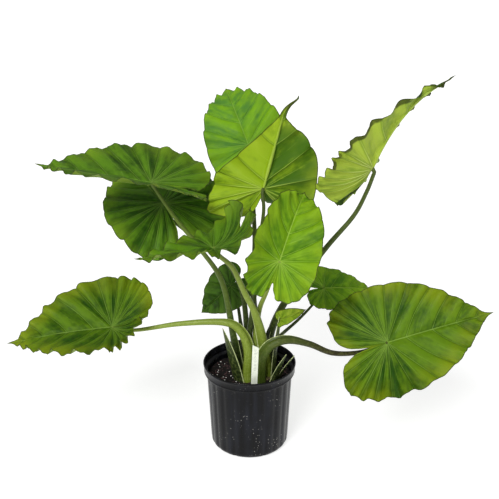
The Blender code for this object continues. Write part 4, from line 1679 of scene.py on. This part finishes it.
@dataclass
class PlantLabel:
    """The white stake, cut slantwise at the top, with rows of plain printed rules."""

    width: float = 0.0165
    thickness: float = 0.0010
    top: float = 0.349
    slant: float = 0.007
    bottom: float = 0.150
    point: float = 0.022
    x: float = 0.004
    y: float = -0.100
    lean: float = 2.0
    rules: int = 14
    rule_pitch: float = 0.0046

    def place(self) -> Matrix:
        """Where the label stands and how it leans."""
        return Matrix.Translation((self.x, self.y, 0.0)) @ Matrix.Rotation(math.radians(self.lean), 4, "Y")

    def build(self) -> list[bpy.types.Object]:
        """Make the stake and its print and tie them to the frame.

        Returns:
            The objects.
        """
        half = self.width / 2
        corner = 0.0012
        outline = [
            (-half + corner, self.top - 0.0003),
            (-half, self.top - corner),
            (-half, self.bottom + self.point),
            (0.0, self.bottom),
            (half, self.bottom + self.point),
            (half, self.top - self.slant - corner),
            (half - corner, self.top - self.slant),
        ]
        shape = bmesh.new()
        front = [shape.verts.new((x, -self.thickness / 2, z)) for x, z in outline]
        face = shape.faces.new(front)
        grown = bmesh.ops.extrude_face_region(shape, geom=[face])
        moved = [item for item in grown["geom"] if isinstance(item, bmesh.types.BMVert)]
        bmesh.ops.translate(shape, verts=moved, vec=(0.0, self.thickness, 0.0))
        bmesh.ops.recalc_face_normals(shape, faces=shape.faces)
        shape.transform(self.place())
        mesh = bpy.data.meshes.new("label_stake")
        shape.to_mesh(mesh)
        shape.free()
        stake = new_object("label_stake", mesh, [SheetPlastic().material("white_sheet")])
        hand_over(stake, ("plant_label",))
        print_mesh = self.print_rules()
        print_mesh.transform(self.place())
        print_piece = new_object("label_rules", print_mesh, [])
        hand_over(print_piece)
        return [stake, print_piece]

    def print_rules(self) -> bpy.types.Mesh:
        """Short grey rules down the label's face, as one mesh."""
        nodes = Nodes("print_rules")
        count = nodes.size("Count", "NodeSocketInt", self.rules)
        pitch = nodes.size("Pitch", "NodeSocketVector", (0.0, 0.0, -self.rule_pitch))
        first = (0.0, -self.thickness / 2 - 0.00004, self.top - 0.014)
        line = nodes.add(
            "GeometryNodeMeshLine",
            {"mode": "OFFSET"},
            {"Count": count, "Start Location": first, "Offset": pitch},
        )
        bar = nodes.add("GeometryNodeMeshCube", {}, {"Size": (0.0080, 0.00012, 0.0011)})
        stretch = nodes.add(
            "FunctionNodeRandomValue",
            {"data_type": "FLOAT_VECTOR"},
            {0: (0.35, 1.0, 0.7), 1: (1.0, 1.0, 1.2), "Seed": 4},
        )
        copies = nodes.add(
            "GeometryNodeInstanceOnPoints",
            {},
            {"Points": line.outputs[0], "Instance": bar.outputs[0], "Scale": stretch.outputs[0]},
        )
        tree = nodes.close(copies.outputs[0], PlainMatt((0.30, 0.31, 0.30)).material("grey_print"))
        return bake_nodes("label_rules", bpy.data.meshes.new("empty"), tree, {"Count": self.rules})


# Studio


@dataclass
class Studio:
    """Plain pale floor, soft light and the camera."""

    floor_radius: float = 60.0
    floor_color: Color = (0.45, 0.45, 0.45)
    floor_glow: float = 0.70
    sky: float = 0.38
    camera_place: Point = (0.0, -2.0, 1.36)
    camera_pitch: float = 21.4
    lens: float = 59.5

    def build(self) -> None:
        """Make the floor, the lights and the camera."""
        shape = bmesh.new()
        bmesh.ops.create_circle(shape, cap_ends=True, segments=64, radius=self.floor_radius)
        mesh = bpy.data.meshes.new("floor")
        shape.to_mesh(mesh)
        shape.free()
        cloth = PlainMatt(self.floor_color, self.floor_glow).material("studio_floor")
        floor = new_object("floor", mesh, [cloth])
        scene = bpy.context.scene
        world = bpy.data.worlds.new("studio")
        world.use_nodes = True
        background = world.node_tree.nodes["Background"]
        background.inputs["Color"].default_value = (1.0, 1.0, 1.0, 1.0)
        background.inputs["Strength"].default_value = self.sky
        scene.world = world
        scene.view_settings.view_transform = "Standard"
        self.sun("key", (50.0, 0.0, -26.0), 2.65, 26.0)
        self.sun("fill", (40.0, 0.0, 60.0), 0.35, 50.0)
        camera = bpy.data.cameras.new("camera")
        camera.lens = self.lens
        camera.sensor_width = 36.0
        camera.clip_end = 200.0
        eye = bpy.data.objects.new("camera", camera)
        eye.location = self.camera_place
        eye.rotation_euler = (math.radians(90.0 - self.camera_pitch), 0.0, 0.0)
        scene.collection.objects.link(eye)
        scene.camera = eye

    @staticmethod
    def sun(name: str, turn: Point, strength: float, spread: float) -> None:
        """Add one broad, far light.

        Args:
            name: Its name.
            turn: How it is turned, in degrees.
            strength: Its strength.
            spread: How wide it looks, in degrees.
        """
        light = bpy.data.lights.new(name, "SUN")
        light.energy = strength
        light.angle = math.radians(spread)
        lamp = bpy.data.objects.new(name, light)
        lamp.rotation_euler = tuple(math.radians(a) for a in turn)
        bpy.context.scene.collection.objects.link(lamp)


def main() -> None:
    """Build every piece in order."""
    logging.basicConfig(level=logging.INFO, format="%(message)s")
    Studio().build()
    NurseryPot().build()
    PottingMix().build()
    Crown().build()
    PlantLabel().build()
    for leaf in LEAVES:
        blade = Blade(leaf)
        blade.build()
        Stalk(leaf, blade).build()
    sheaths = (
        SheathTip("sheath_front", (0.046, -0.050), (0.30, -0.05, 1.0), 0.105, 0.015),
        SheathTip("sheath_right", (0.060, -0.028), (0.42, -0.10, 1.0), 0.095, 0.017),
        SheathTip("sheath_left", (-0.044, -0.036), (-0.20, 0.00, 1.0), 0.170, 0.028),
        SheathTip("sheath_tall", (0.050, -0.020), (0.02, 0.00, 1.0), 0.190, 0.020),
    )
    for sheath in sheaths:
        sheath.build()


if __name__ == "__main__":
    main()
